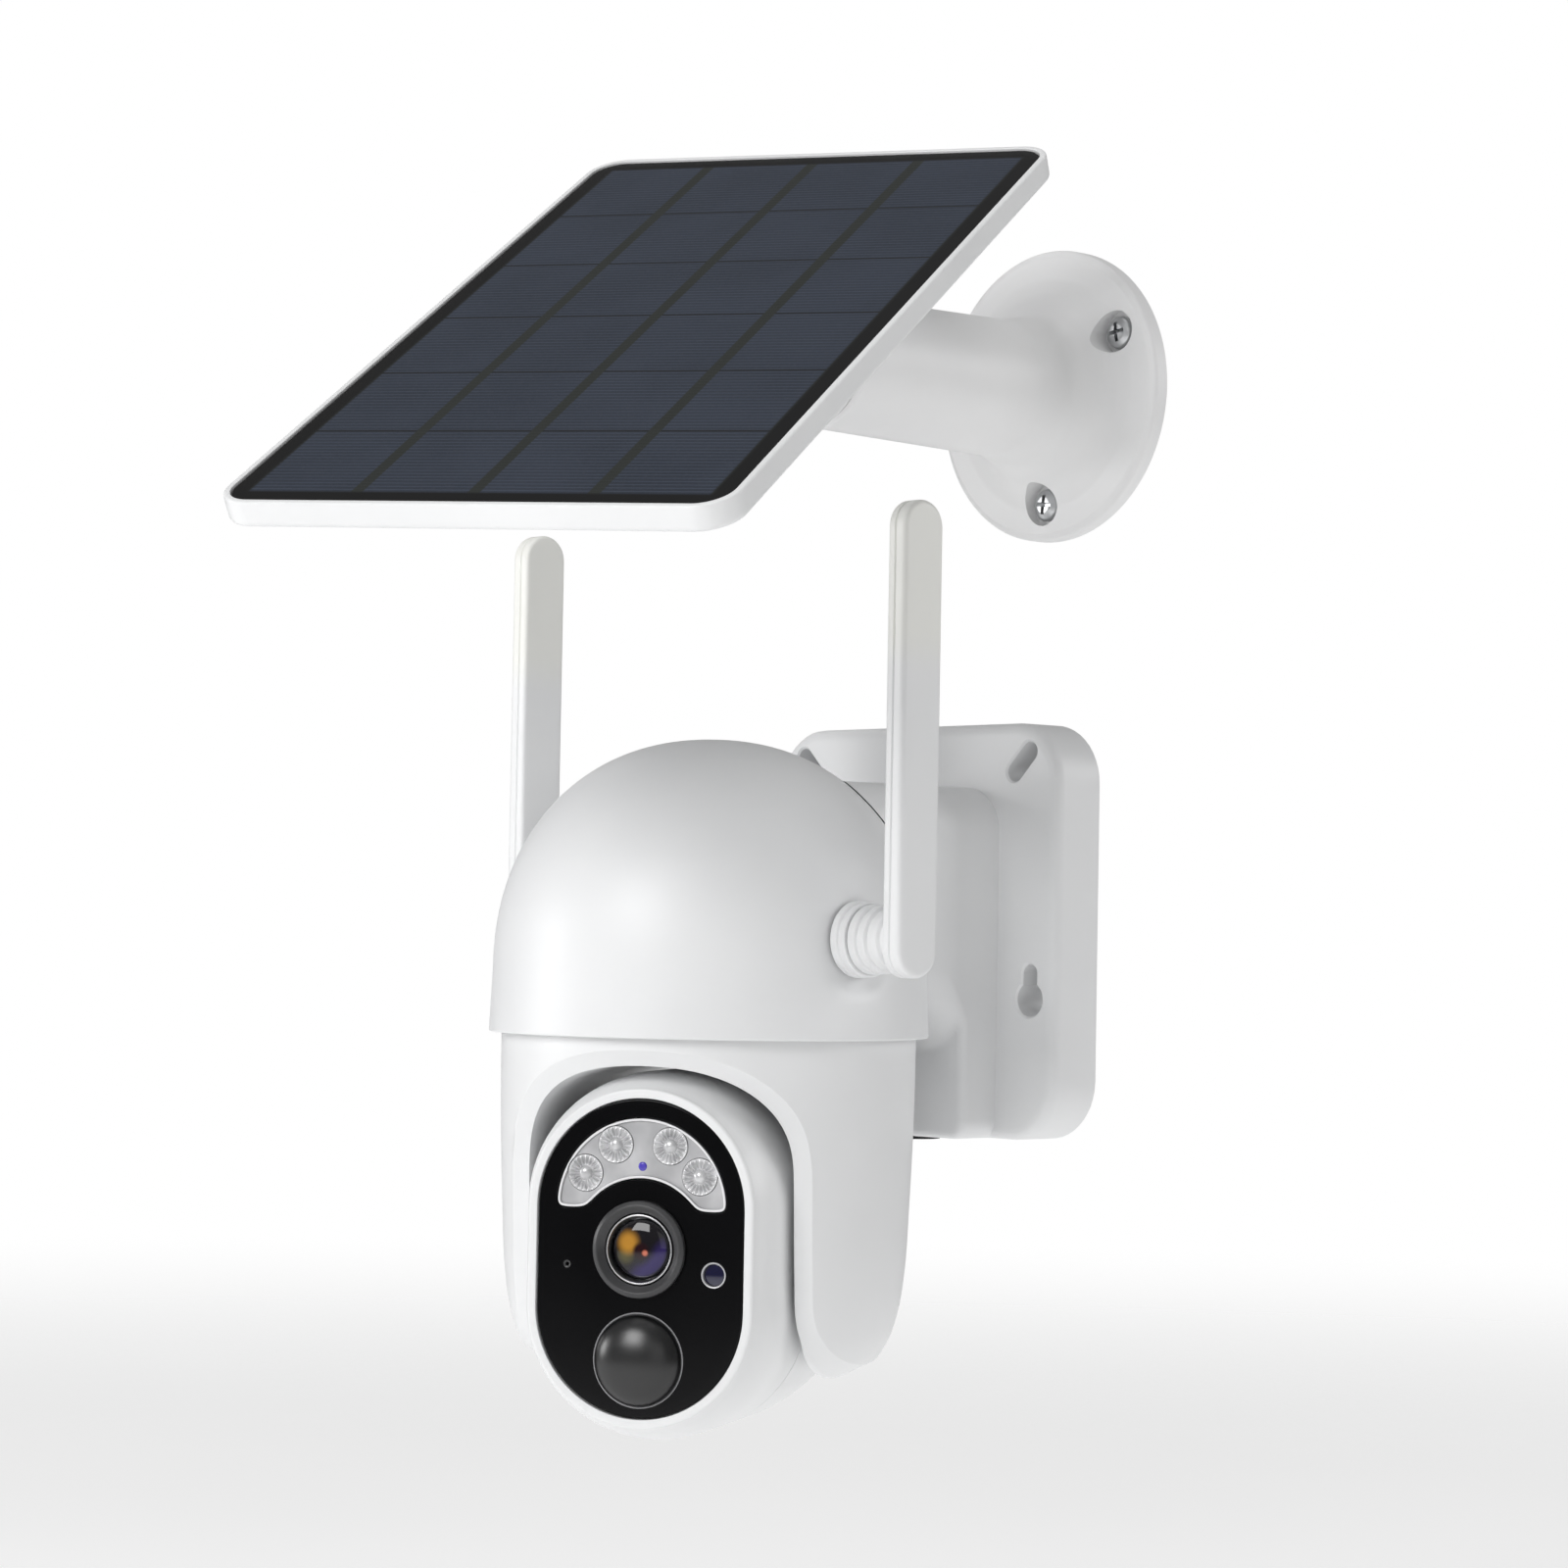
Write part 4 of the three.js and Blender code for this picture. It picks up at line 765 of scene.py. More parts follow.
top_way = np.linspace(0, math.pi / 2, QUARTER)
start = edge + outward * (RIM_WIDTH + 1.2)
yoke_rings = []
inner_line = [(0, 0), (8, 0), (8, 18), (12, 18), (12, 7), (16, 7), (16, -3.4), (48.2, -3.4),
              (48.2, YOKE_TOP)]
for radius, h in inner_line:
    ring = all_round((top_way, np.full(QUARTER, float(h)), 0))
    around = np.linalg.norm(ring[:, :2], axis=1)[:, None]
    ring[:, :2] *= radius / around
    yoke_rings.append(ring)
for share in 1 - np.linspace(1, 0, 30) ** 1.6:
    way = start[:, 0] / SKIRT_RADIUS * share + top_way * (1 - share)
    yoke_rings.append(all_round((way, start[:, 1] * share + YOKE_TOP * (1 - share), 0)))
rim_line = eased([(RIM_WIDTH + 1.2, 0), (RIM_WIDTH, 0, 0.45), (0, RIM_DEPTH)], 5)[1:]
yoke_rings += [edge_ring(apart, depth) for apart, depth in rim_line]

rim_ring = yoke_rings[-1]
past_side = np.clip((np.abs(rim_ring[:, 0]) - ARCH_HALF) / 1.5, 0, 1)
vault_edge = rim_ring.copy()
vault_edge[:, 0] = np.clip(rim_ring[:, 0], -ARCH_HALF, ARCH_HALF)
vault_edge[:, 1] -= np.sign(rim_ring[:, 1]) * np.minimum(1.2, np.abs(rim_ring[:, 1])) * (1 - past_side)
step_in = vault_edge - rim_ring
step_in /= np.maximum(np.linalg.norm(step_in, axis=1), 1e-6)[:, None]
yoke_rings += [rim_ring + step_in * 0.23, vault_edge]
yoke_outside = skin(yoke_rings)
yoke_outside = (yoke_outside[0], yoke_outside[1][2:])

front_half = np.concatenate([np.arange(3 * (QUARTER - 1), 4 * (QUARTER - 1)), np.arange(QUARTER)])
front_line = vault_edge[front_half]
vault_rows = [front_line * np.array([1, 1 - 2 * share, 1]) for share in np.linspace(0, 1, 9)]
columns = len(front_line)
vault_faces = [(r * columns + i, r * columns + i + 1, (r + 1) * columns + i + 1, (r + 1) * columns + i)
               for r in range(8) for i in range(columns - 1)]
yoke_white = moulded("yoke ABS", (0.80, 0.805, 0.81), (0.77, 0.775, 0.78))
vault = (np.concatenate(vault_rows), vault_faces)
yoke = make("yoke_shell_visual", [yoke_outside, vault], yoke_white, yoke_place)

TILT_HEIGHT = (tilt_place.z - joints["pan"]["pos_m"][2]) / MM
bend = np.linspace(math.pi, 2 * math.pi, 40)
cavity = np.concatenate([
    np.stack([26 * np.cos(bend), -58 + 20.5 * np.sin(bend)], 1),
    rounded(-26, 26, -60, -24, (0.01, 5, 5, 0.01))[12:36],
])
for side in (-1, 1):
    pocket = loft(cavity, [(0, side * 32), (0, side * 36.4)], "side")
    machine(yoke, [pocket])
    machine(yoke, [turned([(8.3, side * 33), (8.3, side * 40.5)], "side", 64, middle=(0, TILT_HEIGHT))])
fit(yoke, "yoke", "white_plastic", "yoke_shell")

for side, way in (("left", -1), ("right", 1)):
    cover_profile = eased([(3, way * 34.3), (0.3, way * 34.3, 0.5), (0.3, way * 36.1)], 4)
    cover = make(f"cheek_cover_{side}_visual", [loft(cavity, cover_profile, "side")], yoke_white,
                 yoke_place)
    machine(cover, [turned([(8.3, way * 30), (8.3, way * 40)], "side", 64, middle=(0, TILT_HEIGHT))])
    fit(cover, "yoke", "white_plastic", f"cheek_cover_{side}")

# ------------------------------------------------------------------------------------------------
# Head: two off-white ABS shells that meet in a seam behind the face. The front one has a narrow
# flange round the black cover; the rear one is a round back with the two tilt axles.

HEAD_RADIUS, HEAD_STRAIGHT, HEAD_FRONT, HEAD_SEAM = 32.5, 11.9, 48, 16
HEAD_WALL = 2.4
FACE_RADIUS = 26
COVER_HALF, COVER_LENGTH = 10, 14

head_place = standing_at(tilt_place, tilt_axis, (0, 0, 1))
head_white = moulded("head ABS", (0.81, 0.815, 0.82), (0.785, 0.79, 0.795), 0.36)

shoulder = [(3.7 * t ** 3.2, 27 + 19.6 * t) for t in np.linspace(0, 1, 16)]
front_profile = [
    (0.3, HEAD_SEAM), (0, HEAD_SEAM + 0.3), (0, 21), *shoulder,
    *eased([(3.7, 46.6), (4, HEAD_FRONT, 1), (6.2, HEAD_FRONT, 0.25), (6.2, 45.1), (8.1, 45.1)], 6)[1:],
    (8.1, 42), (6.4, 41), (2.8, 27), (HEAD_WALL, HEAD_SEAM),
]
outline = stadium(HEAD_RADIUS, HEAD_STRAIGHT, 64)
head_front = make("head_front_visual", [loft(outline, front_profile, "front", True)], head_white,
                  head_place)
fit(head_front, "head", "white_plastic", "head_front")

bottom = math.asin((COVER_HALF + 0.3) / HEAD_RADIUS)
half_turn = np.concatenate([
    np.linspace(-math.pi / 2, -bottom, 24)[:-1], np.linspace(-bottom, bottom, 14),
    np.linspace(bottom, math.pi / 2, 24)[1:],
])
low_arc = np.stack([HEAD_RADIUS * np.sin(half_turn), -HEAD_STRAIGHT - HEAD_RADIUS * np.cos(half_turn)], 1)
right_side = np.stack([np.full(8, HEAD_RADIUS), np.linspace(-HEAD_STRAIGHT, HEAD_STRAIGHT, 10)[1:-1]], 1)
section = np.concatenate([low_arc, right_side, -low_arc, -right_side])
ball = HEAD_RADIUS + HEAD_STRAIGHT
depths = np.concatenate([[-HEAD_SEAM + 0.3, -15.2, -14.3], np.linspace(-14.3, 0.3, 9)[1:],
                         ball * np.sin(np.linspace(0.02, math.pi / 2, 30))[1:]])
rear_rings = []
for depth in depths:
    reach = math.sqrt(max(ball ** 2 - max(depth, 0) ** 2, 0))
    spread = np.linalg.norm(section, axis=1)
    blend = 2.5 * min(1, max(0, depth) / 12)
    near = np.maximum(blend - np.abs(spread - reach), 0)
    joined = np.minimum(spread, reach) - (near ** 2 / (4 * blend) if blend else 0)
    joined = np.maximum(joined, 0) if depth < ball - 0.01 else joined * 0
    line = section * (joined / spread)[:, None]
    rear_rings.append(stood(line, -depth, "front"))
rear_points, rear_faces = skin(rear_rings)
rear_faces = rear_faces[2:]
kept_faces = []
for face in rear_faces:
    middle = rear_points[list(face)].mean(0)
    opening = abs(middle[0]) < COVER_HALF + 0.3 and -14.3 < middle[1] < 0.3 and middle[2] < 0
    if not opening:
        kept_faces.append(face)
head_rear = make("head_rear_visual", [(rear_points, kept_faces)], head_white, head_place)
thick = head_rear.modifiers.new("wall", "SOLIDIFY")
thick.thickness = HEAD_WALL * MM
thick.offset = -1
settle(head_rear)
axle = eased([(0, 30.8), (5, 30.8), (5, 40, 0.5), (0, 40)])
axle_left = [(radius, -h) for radius, h in axle]
machine(head_rear, [turned(axle, "side", 48), turned(axle_left, "side", 48)], "UNION")
fit(head_rear, "head", "white_plastic", "head_rear", edge=0.3)

# ------------------------------------------------------------------------------------------------
# Card cover and buttons: a dark grey rubber flap set flush in the underside of the head, hinged
# at its back edge, with a finger slot. Two dark push buttons sit behind it.

grey_rubber = soft_rubber("grey rubber flap", (0.13, 0.13, 0.135))
xs = np.linspace(-COVER_HALF, COVER_HALF, 15)
ys = np.linspace(-COVER_LENGTH, 0, 9)
flap_points = np.array([(x, y, -HEAD_STRAIGHT - math.sqrt(HEAD_RADIUS ** 2 - x * x))
                        for y in ys for x in xs])
flap_faces = [(r * 15 + i, r * 15 + i + 1, (r + 1) * 15 + i + 1, (r + 1) * 15 + i)
              for r in range(8) for i in range(14)]
card_cover = make("card_cover_visual", [(flap_points, flap_faces)], grey_rubber, head_place)
thick = card_cover.modifiers.new("wall", "SOLIDIFY")
thick.thickness = 1.8 * MM
thick.offset = 1 if card_cover.data.polygons[0].normal.z > 0 else -1
settle(card_cover)
finger_slot = rounded(-5, 5, -12.6, -11.2, 0.69, 8)
machine(card_cover, [loft(finger_slot, [(0, -46), (0, -43.6)], "up")])
fit(card_cover, "card_cover", "grey_rubber", "card_cover", edge=0.3)

button_profile = eased([(0, -40.4), (2, -40.4, 0.4), (2, -38.2), (3, -38.2), (3, -37.2), (0, -37.2)], 4)
for name in ("reset_button", "power_button"):
    low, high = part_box(name)
    spot = Matrix.Translation(((low.x + high.x) / 2, (low.y + high.y) / 2, tilt_place.z))
    button = make(f"{name}_visual", [turned(button_profile, "up", 32)], dark_plastic, spot)
    fit(button, name, "dark_plastic", name)

# ------------------------------------------------------------------------------------------------
# Face: a glossy black cover window in the flange, with a crescent window over a metallised
# carrier that holds four infrared lamps, each under a clear lens with ribs round it.

FACE_FRONT = HEAD_FRONT - 0.6
FACE_BACK = FACE_FRONT - 2.2
LENS_UP = 2.2
PIR_UP, PIR_RADIUS = -24.2, 11
SENSOR, MIC = (18.6, -3.2), (-18.6, -2)
LAMPS = ((-14.5, 19.9), (-6.9, 26.9), (6.9, 26.9), (14.5, 19.9))
LAMP_RADIUS = 4.4
WINDOW_OUTER, WINDOW_INNER, WINDOW_END = 21.8, 16.7, 11.4

black_gloss = Finish("black cover", Specular_IOR_Level=0.16)
haze = black_gloss.noise(45, 4)
black_gloss.colour(haze, (0.002, 0.002, 0.0025), (0.004, 0.004, 0.0045))
black_gloss.paint("Roughness", 0.07 + 0.05 * haze)

low_edge = math.asin((WINDOW_END - HEAD_STRAIGHT) / WINDOW_OUTER)
high_edge = math.asin((WINDOW_END - LENS_UP) / WINDOW_INNER)
outer_arc = np.linspace(low_edge, math.pi - low_edge, 90)
inner_arc = np.linspace(math.pi - high_edge, high_edge, 90)
crescent = np.concatenate([
    np.stack([WINDOW_OUTER * np.cos(outer_arc), HEAD_STRAIGHT + WINDOW_OUTER * np.sin(outer_arc)], 1),
    np.stack([WINDOW_INNER * np.cos(inner_arc), LENS_UP + WINDOW_INNER * np.sin(inner_arc)], 1),
])
crescent = evenly(np.concatenate([crescent, crescent[:1]]), 241)[:-1]
for _ in range(24):
    crescent = (np.roll(crescent, 1, 0) + 2 * crescent + np.roll(crescent, -1, 0)) / 4

face_profile = eased([(0, FACE_BACK), (0, FACE_FRONT, 0.35), (3, FACE_FRONT)], 5)
face = make("face_panel_visual", [loft(stadium(FACE_RADIUS, HEAD_STRAIGHT, 64), face_profile, "front")],
            black_gloss, head_place)
through = [(0, FACE_BACK - 2), (0, FACE_FRONT - 0.15), (-0.2, FACE_FRONT + 0.05), (-0.2, FACE_FRONT + 2)]
machine(face, [
    loft(circle(10.4, 72, (0, LENS_UP)), through, "front"),
    loft(circle(PIR_RADIUS + 0.3, 72, (0, PIR_UP)), through, "front"),
    loft(circle(3.2, 48, SENSOR), through, "front"),
    loft(circle(1.0, 24, MIC), through, "front"),
    loft(crescent, through, "front"),
])
fit(face, "head", "black_gloss", "face_panel")


def in_face(name, slot, profile, finish, steps, middle, *stands_for, hollow=False):
    """A round piece that is set in the face about a middle."""
    piece = make(name, [turned(profile, "front", steps, hollow, middle)], finish, head_place)
    fit(piece, "head", slot, *stands_for)



silver_paint = Finish("metallised carrier", Metallic=0.55)
cloud = silver_paint.noise(90, 3)
silver_paint.colour(cloud.ramp(0.3, 0.75), (0.40, 0.40, 0.41), (0.58, 0.58, 0.59))
silver_paint.paint("Roughness", 0.38 + 0.14 * cloud)
silver_paint.relief(silver_paint.noise(1400, 2), 0.00001)
# Painted highlight: the carrier's front lip round the crescent window gets a paler, non-metallic colour.
window_rim_painted_highlight = Finish("window rim painted highlight", Roughness=0.3)
window_rim_painted_highlight.colour(window_rim_painted_highlight.noise(200), (0.72, 0.72, 0.73), (0.82, 0.82, 0.83))

carrier_profile = eased([
    (0.3, FACE_BACK - 1.6), (0.3, FACE_FRONT - 0.15, 0.15), (0.85, FACE_FRONT - 0.15, 0.15),
    (1.0, FACE_FRONT - 0.75),
], 4)
carrier = make("led_carrier_visual", [loft(crescent, carrier_profile, "front")], silver_paint, head_place)
carrier.data.materials.append(window_rim_painted_highlight.material)
lamp_hole = [(LAMP_RADIUS + 0.15, FACE_FRONT - 8), (LAMP_RADIUS + 0.15, FACE_FRONT + 2)]
machine(carrier, [turned(lamp_hole, "front", 40, middle=spot) for spot in LAMPS])
# The front-facing faces take the painted highlight.
for face_part in carrier.data.polygons:
    if face_part.center.y < -(FACE_FRONT - 0.5) * MM:
        face_part.material_index = 1
fit(carrier, "head", "silver", "led_carrier")

lamp_clear = Finish("clear lamp lens", Specular_IOR_Level=0.7, Coat_Weight=0.3, Metallic=0.35)
# Fine noise paints small glints into the lens's grey colour, and varies its roughness.
painted_glints_and_roughness = lamp_clear.noise(500, 2)
lamp_clear.colour(painted_glints_and_roughness.ramp(0.35, 0.65), (0.50, 0.50, 0.51), (0.68, 0.68, 0.69))
lamp_clear.paint("Roughness", 0.24 + 0.12 * painted_glints_and_roughness)
RIBS = 20
lamp_radii = np.concatenate([np.linspace(0, 1.6, 9), np.linspace(1.75, 4.15, 12), [4.4, 4.4]])
for i, (x, z) in enumerate(LAMPS, 1):
    rings = []
    for radius in lamp_radii:
        line = circle(radius, 8 * RIBS)
        angle = np.arctan2(line[:, 1], line[:, 0])
        if radius <= 1.6:
            height = FACE_FRONT - 0.75 + 1.0 * math.sqrt(1 - (radius / 1.62) ** 2)
        else:
            share = min(1, max(0, (radius - 1.75) / 2.4))
            ribs = 0.34 * np.cos(RIBS * angle) * math.sin(math.pi * share) ** 0.6
            height = FACE_FRONT - 0.85 + 0.3 * share + ribs
        rings.append(stood(line + [x, z], height, "front"))
    rings.append(stood(circle(LAMP_RADIUS, 8 * RIBS, (x, z)), FACE_FRONT - 2.2, "front"))
    lamp = make(f"led_lens_{i}_visual", [skin(rings)], lamp_clear, head_place)
    fit(lamp, "head", "clear_plastic", f"led_lens_{i}")

status_blue = Finish("status lamp", Roughness=0.25, Coat_Weight=0.5)
status_blue.colour(status_blue.noise(800), (0.03, 0.02, 0.30), (0.10, 0.07, 0.55))
status_profile = eased([
    (0, FACE_FRONT - 0.45), (0.8, FACE_FRONT - 0.5, 0.5), (1.15, FACE_FRONT - 0.8),
    (1.15, FACE_FRONT - 2.4), (0, FACE_FRONT - 2.4),
])
in_face("status_lamp", "sensor_blue", status_profile, status_blue, 32, (0, 21.9))

# ------------------------------------------------------------------------------------------------
# Camera lens: a dark ring clipped into the cover, a bright machined barrel inside it, and a glass
# whose colour paints its coating's reflections, amber on one side and violet on the other,
# with a painted dark pupil, a painted red glint and painted shade round its edge.

RING_OUTER, BARREL_OUTER, GLASS_RADIUS = 11.6, 8.4, 7.2

ring_dark = moulded("dark lens ring", (0.05, 0.05, 0.052), (0.038, 0.038, 0.04), 0.34, 0.00001)
ring_profile = eased([
    (8.7, FACE_BACK - 3), (10, FACE_BACK - 3), (10, FACE_FRONT + 0.3), (RING_OUTER, FACE_FRONT + 0.3),
    (RING_OUTER, FACE_FRONT + 1.5, 0.5), (10.4, FACE_FRONT + 2.2, 0.5), (8.7, FACE_FRONT + 0.6, 0.3),
    (8.7, FACE_BACK),
], 5)
in_face("lens_ring_visual", "dark_plastic", ring_profile, ring_dark, 96, (0, LENS_UP), "lens_ring",
        hollow=True)

barrel_metal = plated("machined lens barrel", (0.60, 0.60, 0.61), 0.28)
barrel_profile = eased([
    (0, FACE_FRONT - 13), (BARREL_OUTER, FACE_FRONT - 13), (BARREL_OUTER, FACE_FRONT + 0.85, 0.35),
    (8.0, FACE_FRONT + 0.9, 0.2), (7.5, FACE_FRONT - 0.3), (7.5, FACE_FRONT - 5), (0, FACE_FRONT - 5),
], 5)
in_face("lens_barrel_visual", "silver", barrel_profile, barrel_metal, 96, (0, LENS_UP), "lens_barrel")

# The glass's colour is painted light: coating reflections, a dark pupil, a red glint and shade at its edge.
glass = Finish("lens glass with painted reflections", Roughness=0.04, Specular_IOR_Level=0.3, Coat_Weight=0.25,
               Coat_Roughness=0.02)
across, _, up = glass.axes()
up = up - LENS_UP * MM
radial = (across * across + up * up) ** 0.5


def spot(x, z, outer, inner):
    """1 inside the inner radius of a spot on the glass, and 0 outside its outer radius."""
    aside, above = across - x, up - z
    return ((aside * aside + above * above) ** 0.5).ramp(outer, inner)


# Painted reflections: amber and olive patches on one side, violet towards the other. The dark pupil is
# painted shade seen into the lens, and the small red spot is a painted glint.
painted_amber_reflection = spot(-0.0030, 0.0016, 0.0038, 0.0010)
painted_olive_reflection = spot(-0.0036, -0.0014, 0.0030, 0.0006)
painted_violet_reflection = (across - up).ramp(0.0012, 0.0062) * radial.ramp(0.0018, 0.0046)
painted_pupil_shade = spot(0.0004, -0.0004, 0.0026, 0.0012)
painted_red_glint = spot(0.0014, -0.0008, 0.0010, 0.0003)
# Painted shade: the glass darkens towards its edge, under the barrel's lip.
painted_edge_shade = radial.ramp(0.0060, 0.0069)
tone = glass.mix(painted_olive_reflection, (0.007, 0.006, 0.008), (0.07, 0.06, 0.012))
tone = glass.mix(painted_amber_reflection, tone, (0.46, 0.22, 0.03))
tone = glass.mix(painted_violet_reflection, tone, (0.028, 0.018, 0.10))
tone = glass.mix(painted_pupil_shade, tone, (0.016, 0.003, 0.005))
tone = glass.mix(painted_red_glint, tone, (0.55, 0.16, 0.10))
glass.colour(painted_edge_shade, tone, (0.006, 0.006, 0.008))
glass_profile = [(GLASS_RADIUS * math.cos(a), FACE_FRONT - 1.2 + 1.7 * math.sin(a))
                 for a in np.linspace(0, math.pi / 2, 16)]
glass_profile = [(0, FACE_FRONT - 4.6), (GLASS_RADIUS, FACE_FRONT - 4.6), *glass_profile[:-1],
                 (0, FACE_FRONT + 0.5)]
in_face("lens_glass_visual", "optical_glass", glass_profile, glass, 96, (0, LENS_UP), "lens_glass")

# ------------------------------------------------------------------------------------------------
# Motion sensor dome and light sensor: a dark infrared-clear dome below the lens, in a thin grey ring
# that is a painted highlight on the dome's edge, and a dark blue window at the bottom of a bright tube
# beside it.

pir_black = Finish("motion sensor dome", Specular_IOR_Level=0.7)
facets = pir_black.noise(50, 2)
pir_black.colour(facets, (0.003, 0.003, 0.0035), (0.005, 0.005, 0.0055))
pir_black.paint("Roughness", 0.27 + 0.05 * facets)
rise = np.linspace(0, math.pi / 2, 22)
dome = [(PIR_RADIUS * math.cos(a), FACE_FRONT - 0.1 + 5.5 * math.sin(a)) for a in rise]
under = [((PIR_RADIUS - 1) * math.cos(a), FACE_FRONT - 0.1 + 4.5 * math.sin(a)) for a in rise[::-3]]
pir_profile = [*dome[:-1], (0, FACE_FRONT + 5.4)]
pir_profile = [(0, FACE_FRONT + 4.4), *under[1:], (PIR_RADIUS - 1, FACE_BACK - 2),
               (PIR_RADIUS, FACE_BACK - 2), *pir_profile]
in_face("pir_lens_visual", "black_gloss", pir_profile, pir_black, 96, (0, PIR_UP), "pir_lens")

# The thin grey ring round the dome is a painted highlight: the light caught on the dome's edge.
rim_profile = eased([
    (11.03, FACE_FRONT - 1.2), (11.03, FACE_FRONT + 0.12, 0.08), (11.4, FACE_FRONT + 0.12, 0.08),
    (11.4, FACE_FRONT + 0.02), (11.25, FACE_FRONT + 0.02), (11.25, FACE_FRONT - 1.2),
], 4)
pir_rim_painted_highlight = moulded("motion sensor rim painted highlight", (0.30, 0.30, 0.31), (0.24, 0.24, 0.25), 0.3)
in_face("pir_rim", "black_gloss", rim_profile, pir_rim_painted_highlight, 96, (0, PIR_UP), hollow=True)

sensor_blue = Finish("light sensor window", Roughness=0.08, Coat_Weight=0.6)
sensor_blue.colour(sensor_blue.noise(300), (0.003, 0.003, 0.020), (0.006, 0.006, 0.045))
window_profile = eased([(0, FACE_BACK - 1), (2.6, FACE_BACK - 1), (2.6, FACE_FRONT - 0.9, 0.2),
                        (0, FACE_FRONT - 0.8)])
in_face("light_sensor_visual", "sensor_blue", window_profile, sensor_blue, 48, SENSOR, "light_sensor")

tube_profile = eased([(2.68, FACE_BACK), (2.68, FACE_FRONT - 0.1, 0.1), (3.1, FACE_FRONT + 0.05, 0.1),
                      (3.1, FACE_BACK)], 4)
in_face("light_sensor_tube", "silver", tube_profile, silver_paint, 48, SENSOR, hollow=True)

mic_profile = eased([(0.5, FACE_FRONT - 1.5), (0.5, FACE_FRONT - 0.25), (0.95, FACE_FRONT - 0.02, 0.1),
                     (0.95, FACE_FRONT - 1.5)], 4)
in_face("microphone_port", "dark_plastic", mic_profile, ring_dark, 32, MIC, hollow=True)

# ------------------------------------------------------------------------------------------------
# Solar panel's wall arm: a round plate with three deep screw holes, drawn up into a slightly
# tapered tube, all one white ABS moulding. Cross-headed screws hold it to the wall.

PLATE_RADIUS, ARM_LENGTH = 37.8, 86
SCREW_CIRCLE, SCREW_ANGLES, COUNTERBORE = 28.4, (30, 150, 270), 5.5
swivel_point = Vector(joints["arm_swivel"]["pos_m"])
arm_place = Matrix.Translation((swivel_point.x, 0, swivel_point.z))
arm_white = moulded("arm ABS", (0.83, 0.83, 0.83), (0.80, 0.80, 0.805), 0.42)

arm_profile = eased([
    (12.5, 0), (PLATE_RADIUS, 0, 0.4), (PLATE_RADIUS, 4.2, 1.4), (36, 5, 1), (30, 5.6, 8), (24.5, 7.2, 9),
    (19.4, 14.5, 12), (17.6, 24, 12), (16.5, ARM_LENGTH - 1, 0.8), (15.6, ARM_LENGTH, 0.4),
    (4.3, ARM_LENGTH), (4.3, 80), (12.5, 80), (12.5, 0),
], 9)[:-1]
arm = make("solar_arm_visual", [turned(arm_profile, "front", 160, True)], arm_white, arm_place)
screw_spots = [(SCREW_CIRCLE * math.cos(math.radians(angle)), SCREW_CIRCLE * math.sin(math.radians(angle)))
               for angle in SCREW_ANGLES]
screw_hole = [(2.6, -2), (2.6, 2.6), (COUNTERBORE, 2.6), (COUNTERBORE, 14)]
for spot in screw_spots:
    machine(arm, [turned(screw_hole, "front", 64, middle=spot)])
fit(arm, "wall_body", "white_plastic", "solar_arm", edge=0.35, steps=3, angle=30)

for i, (x, z) in enumerate(screw_spots, 1):
    driven = Matrix.Rotation(math.radians(7 * i - 14), 4, "Y")
    screw = make(f"solar_screw_{i}_visual", [screw_shapes(4.3, 2.1, 5.4, 2.9, 0.3)], screw_steel,
                 arm_place @ Matrix.Translation((x * MM, 0, z * MM)) @ driven)
    machine(screw, [cross_shapes(2.6, 5.4, 3.4, 0.55)])
    fit(screw, "wall_body", "steel", f"solar_screw_{i}")

# ------------------------------------------------------------------------------------------------
# Swivel head: turns on the end of the arm, and holds the panel's hinge on a tongue. It is one
# white ABS moulding, kept on the arm by a nut inside the tube.

HEAD_END, BARREL_RADIUS = 17.7, 16.8
TONGUE_HALF, KNUCKLE = 6.5, 11
hinge_axis = Vector(joints["panel_tilt"]["axis"])
swivel_place = standing_at(swivel_point, hinge_axis, hinge_axis.cross(Vector((0, 1, 0))))


def slab(x0, x1, y0, y1, z0, z1):
    """A plain block, used only as a cutter."""
    return loft(rounded(x0, x1, y0, y1, 0.01, 2), [(0, z0), (0, z1)], "up")


barrel_line = [(0, -HEAD_END), (15.6, -HEAD_END, 0.4), (BARREL_RADIUS, -HEAD_END + 1.6, 1.2),
               (BARREL_RADIUS, 0, 3), (14.6, 3.4, 2), (0, 4)]
swivel = make("swivel_head_visual", [turned(eased(barrel_line, 8), "front", 128)], arm_white, swivel_place)
machine(swivel, [slab(-30, 30, -20, 9, -3, 30)])
bend = np.linspace(math.pi / 2, 1.5 * math.pi, 40)
tongue_line = np.concatenate([[(10, -KNUCKLE), (10, KNUCKLE)],
                              np.stack([KNUCKLE * np.cos(bend), KNUCKLE * np.sin(bend)], 1)])
tongue = loft(tongue_line, eased([(1.2, -TONGUE_HALF), (0, -TONGUE_HALF, 0.6), (0, TONGUE_HALF, 0.6),
                                  (1.2, TONGUE_HALF)]), "side")
machine(swivel, [tongue], "UNION")
for side in (-1, 1):
    machine(swivel, [turned([(KNUCKLE + 1.2, side * TONGUE_HALF), (KNUCKLE + 1.2, side * 20)], "side", 64)])
machine(swivel, [turned([(3.3, -20), (3.3, 20)], "side", 48)])
stud = [(0, -HEAD_END - 13), (4, -HEAD_END - 13), (4, -HEAD_END + 1), (0, -HEAD_END + 1)]
machine(swivel, [turned(stud, "front", 48)], "UNION")
fit(swivel, "swivel", "white_plastic", "swivel_head", edge=0.5, steps=3, angle=40)
dress(motor_steel, "swivel_nut")

# ------------------------------------------------------------------------------------------------
# Panel bracket: two lugs on a round foot that is screwed under the panel, in white ABS, with a
# steel bolt and nut through lugs and tongue that lock the panel's slope.

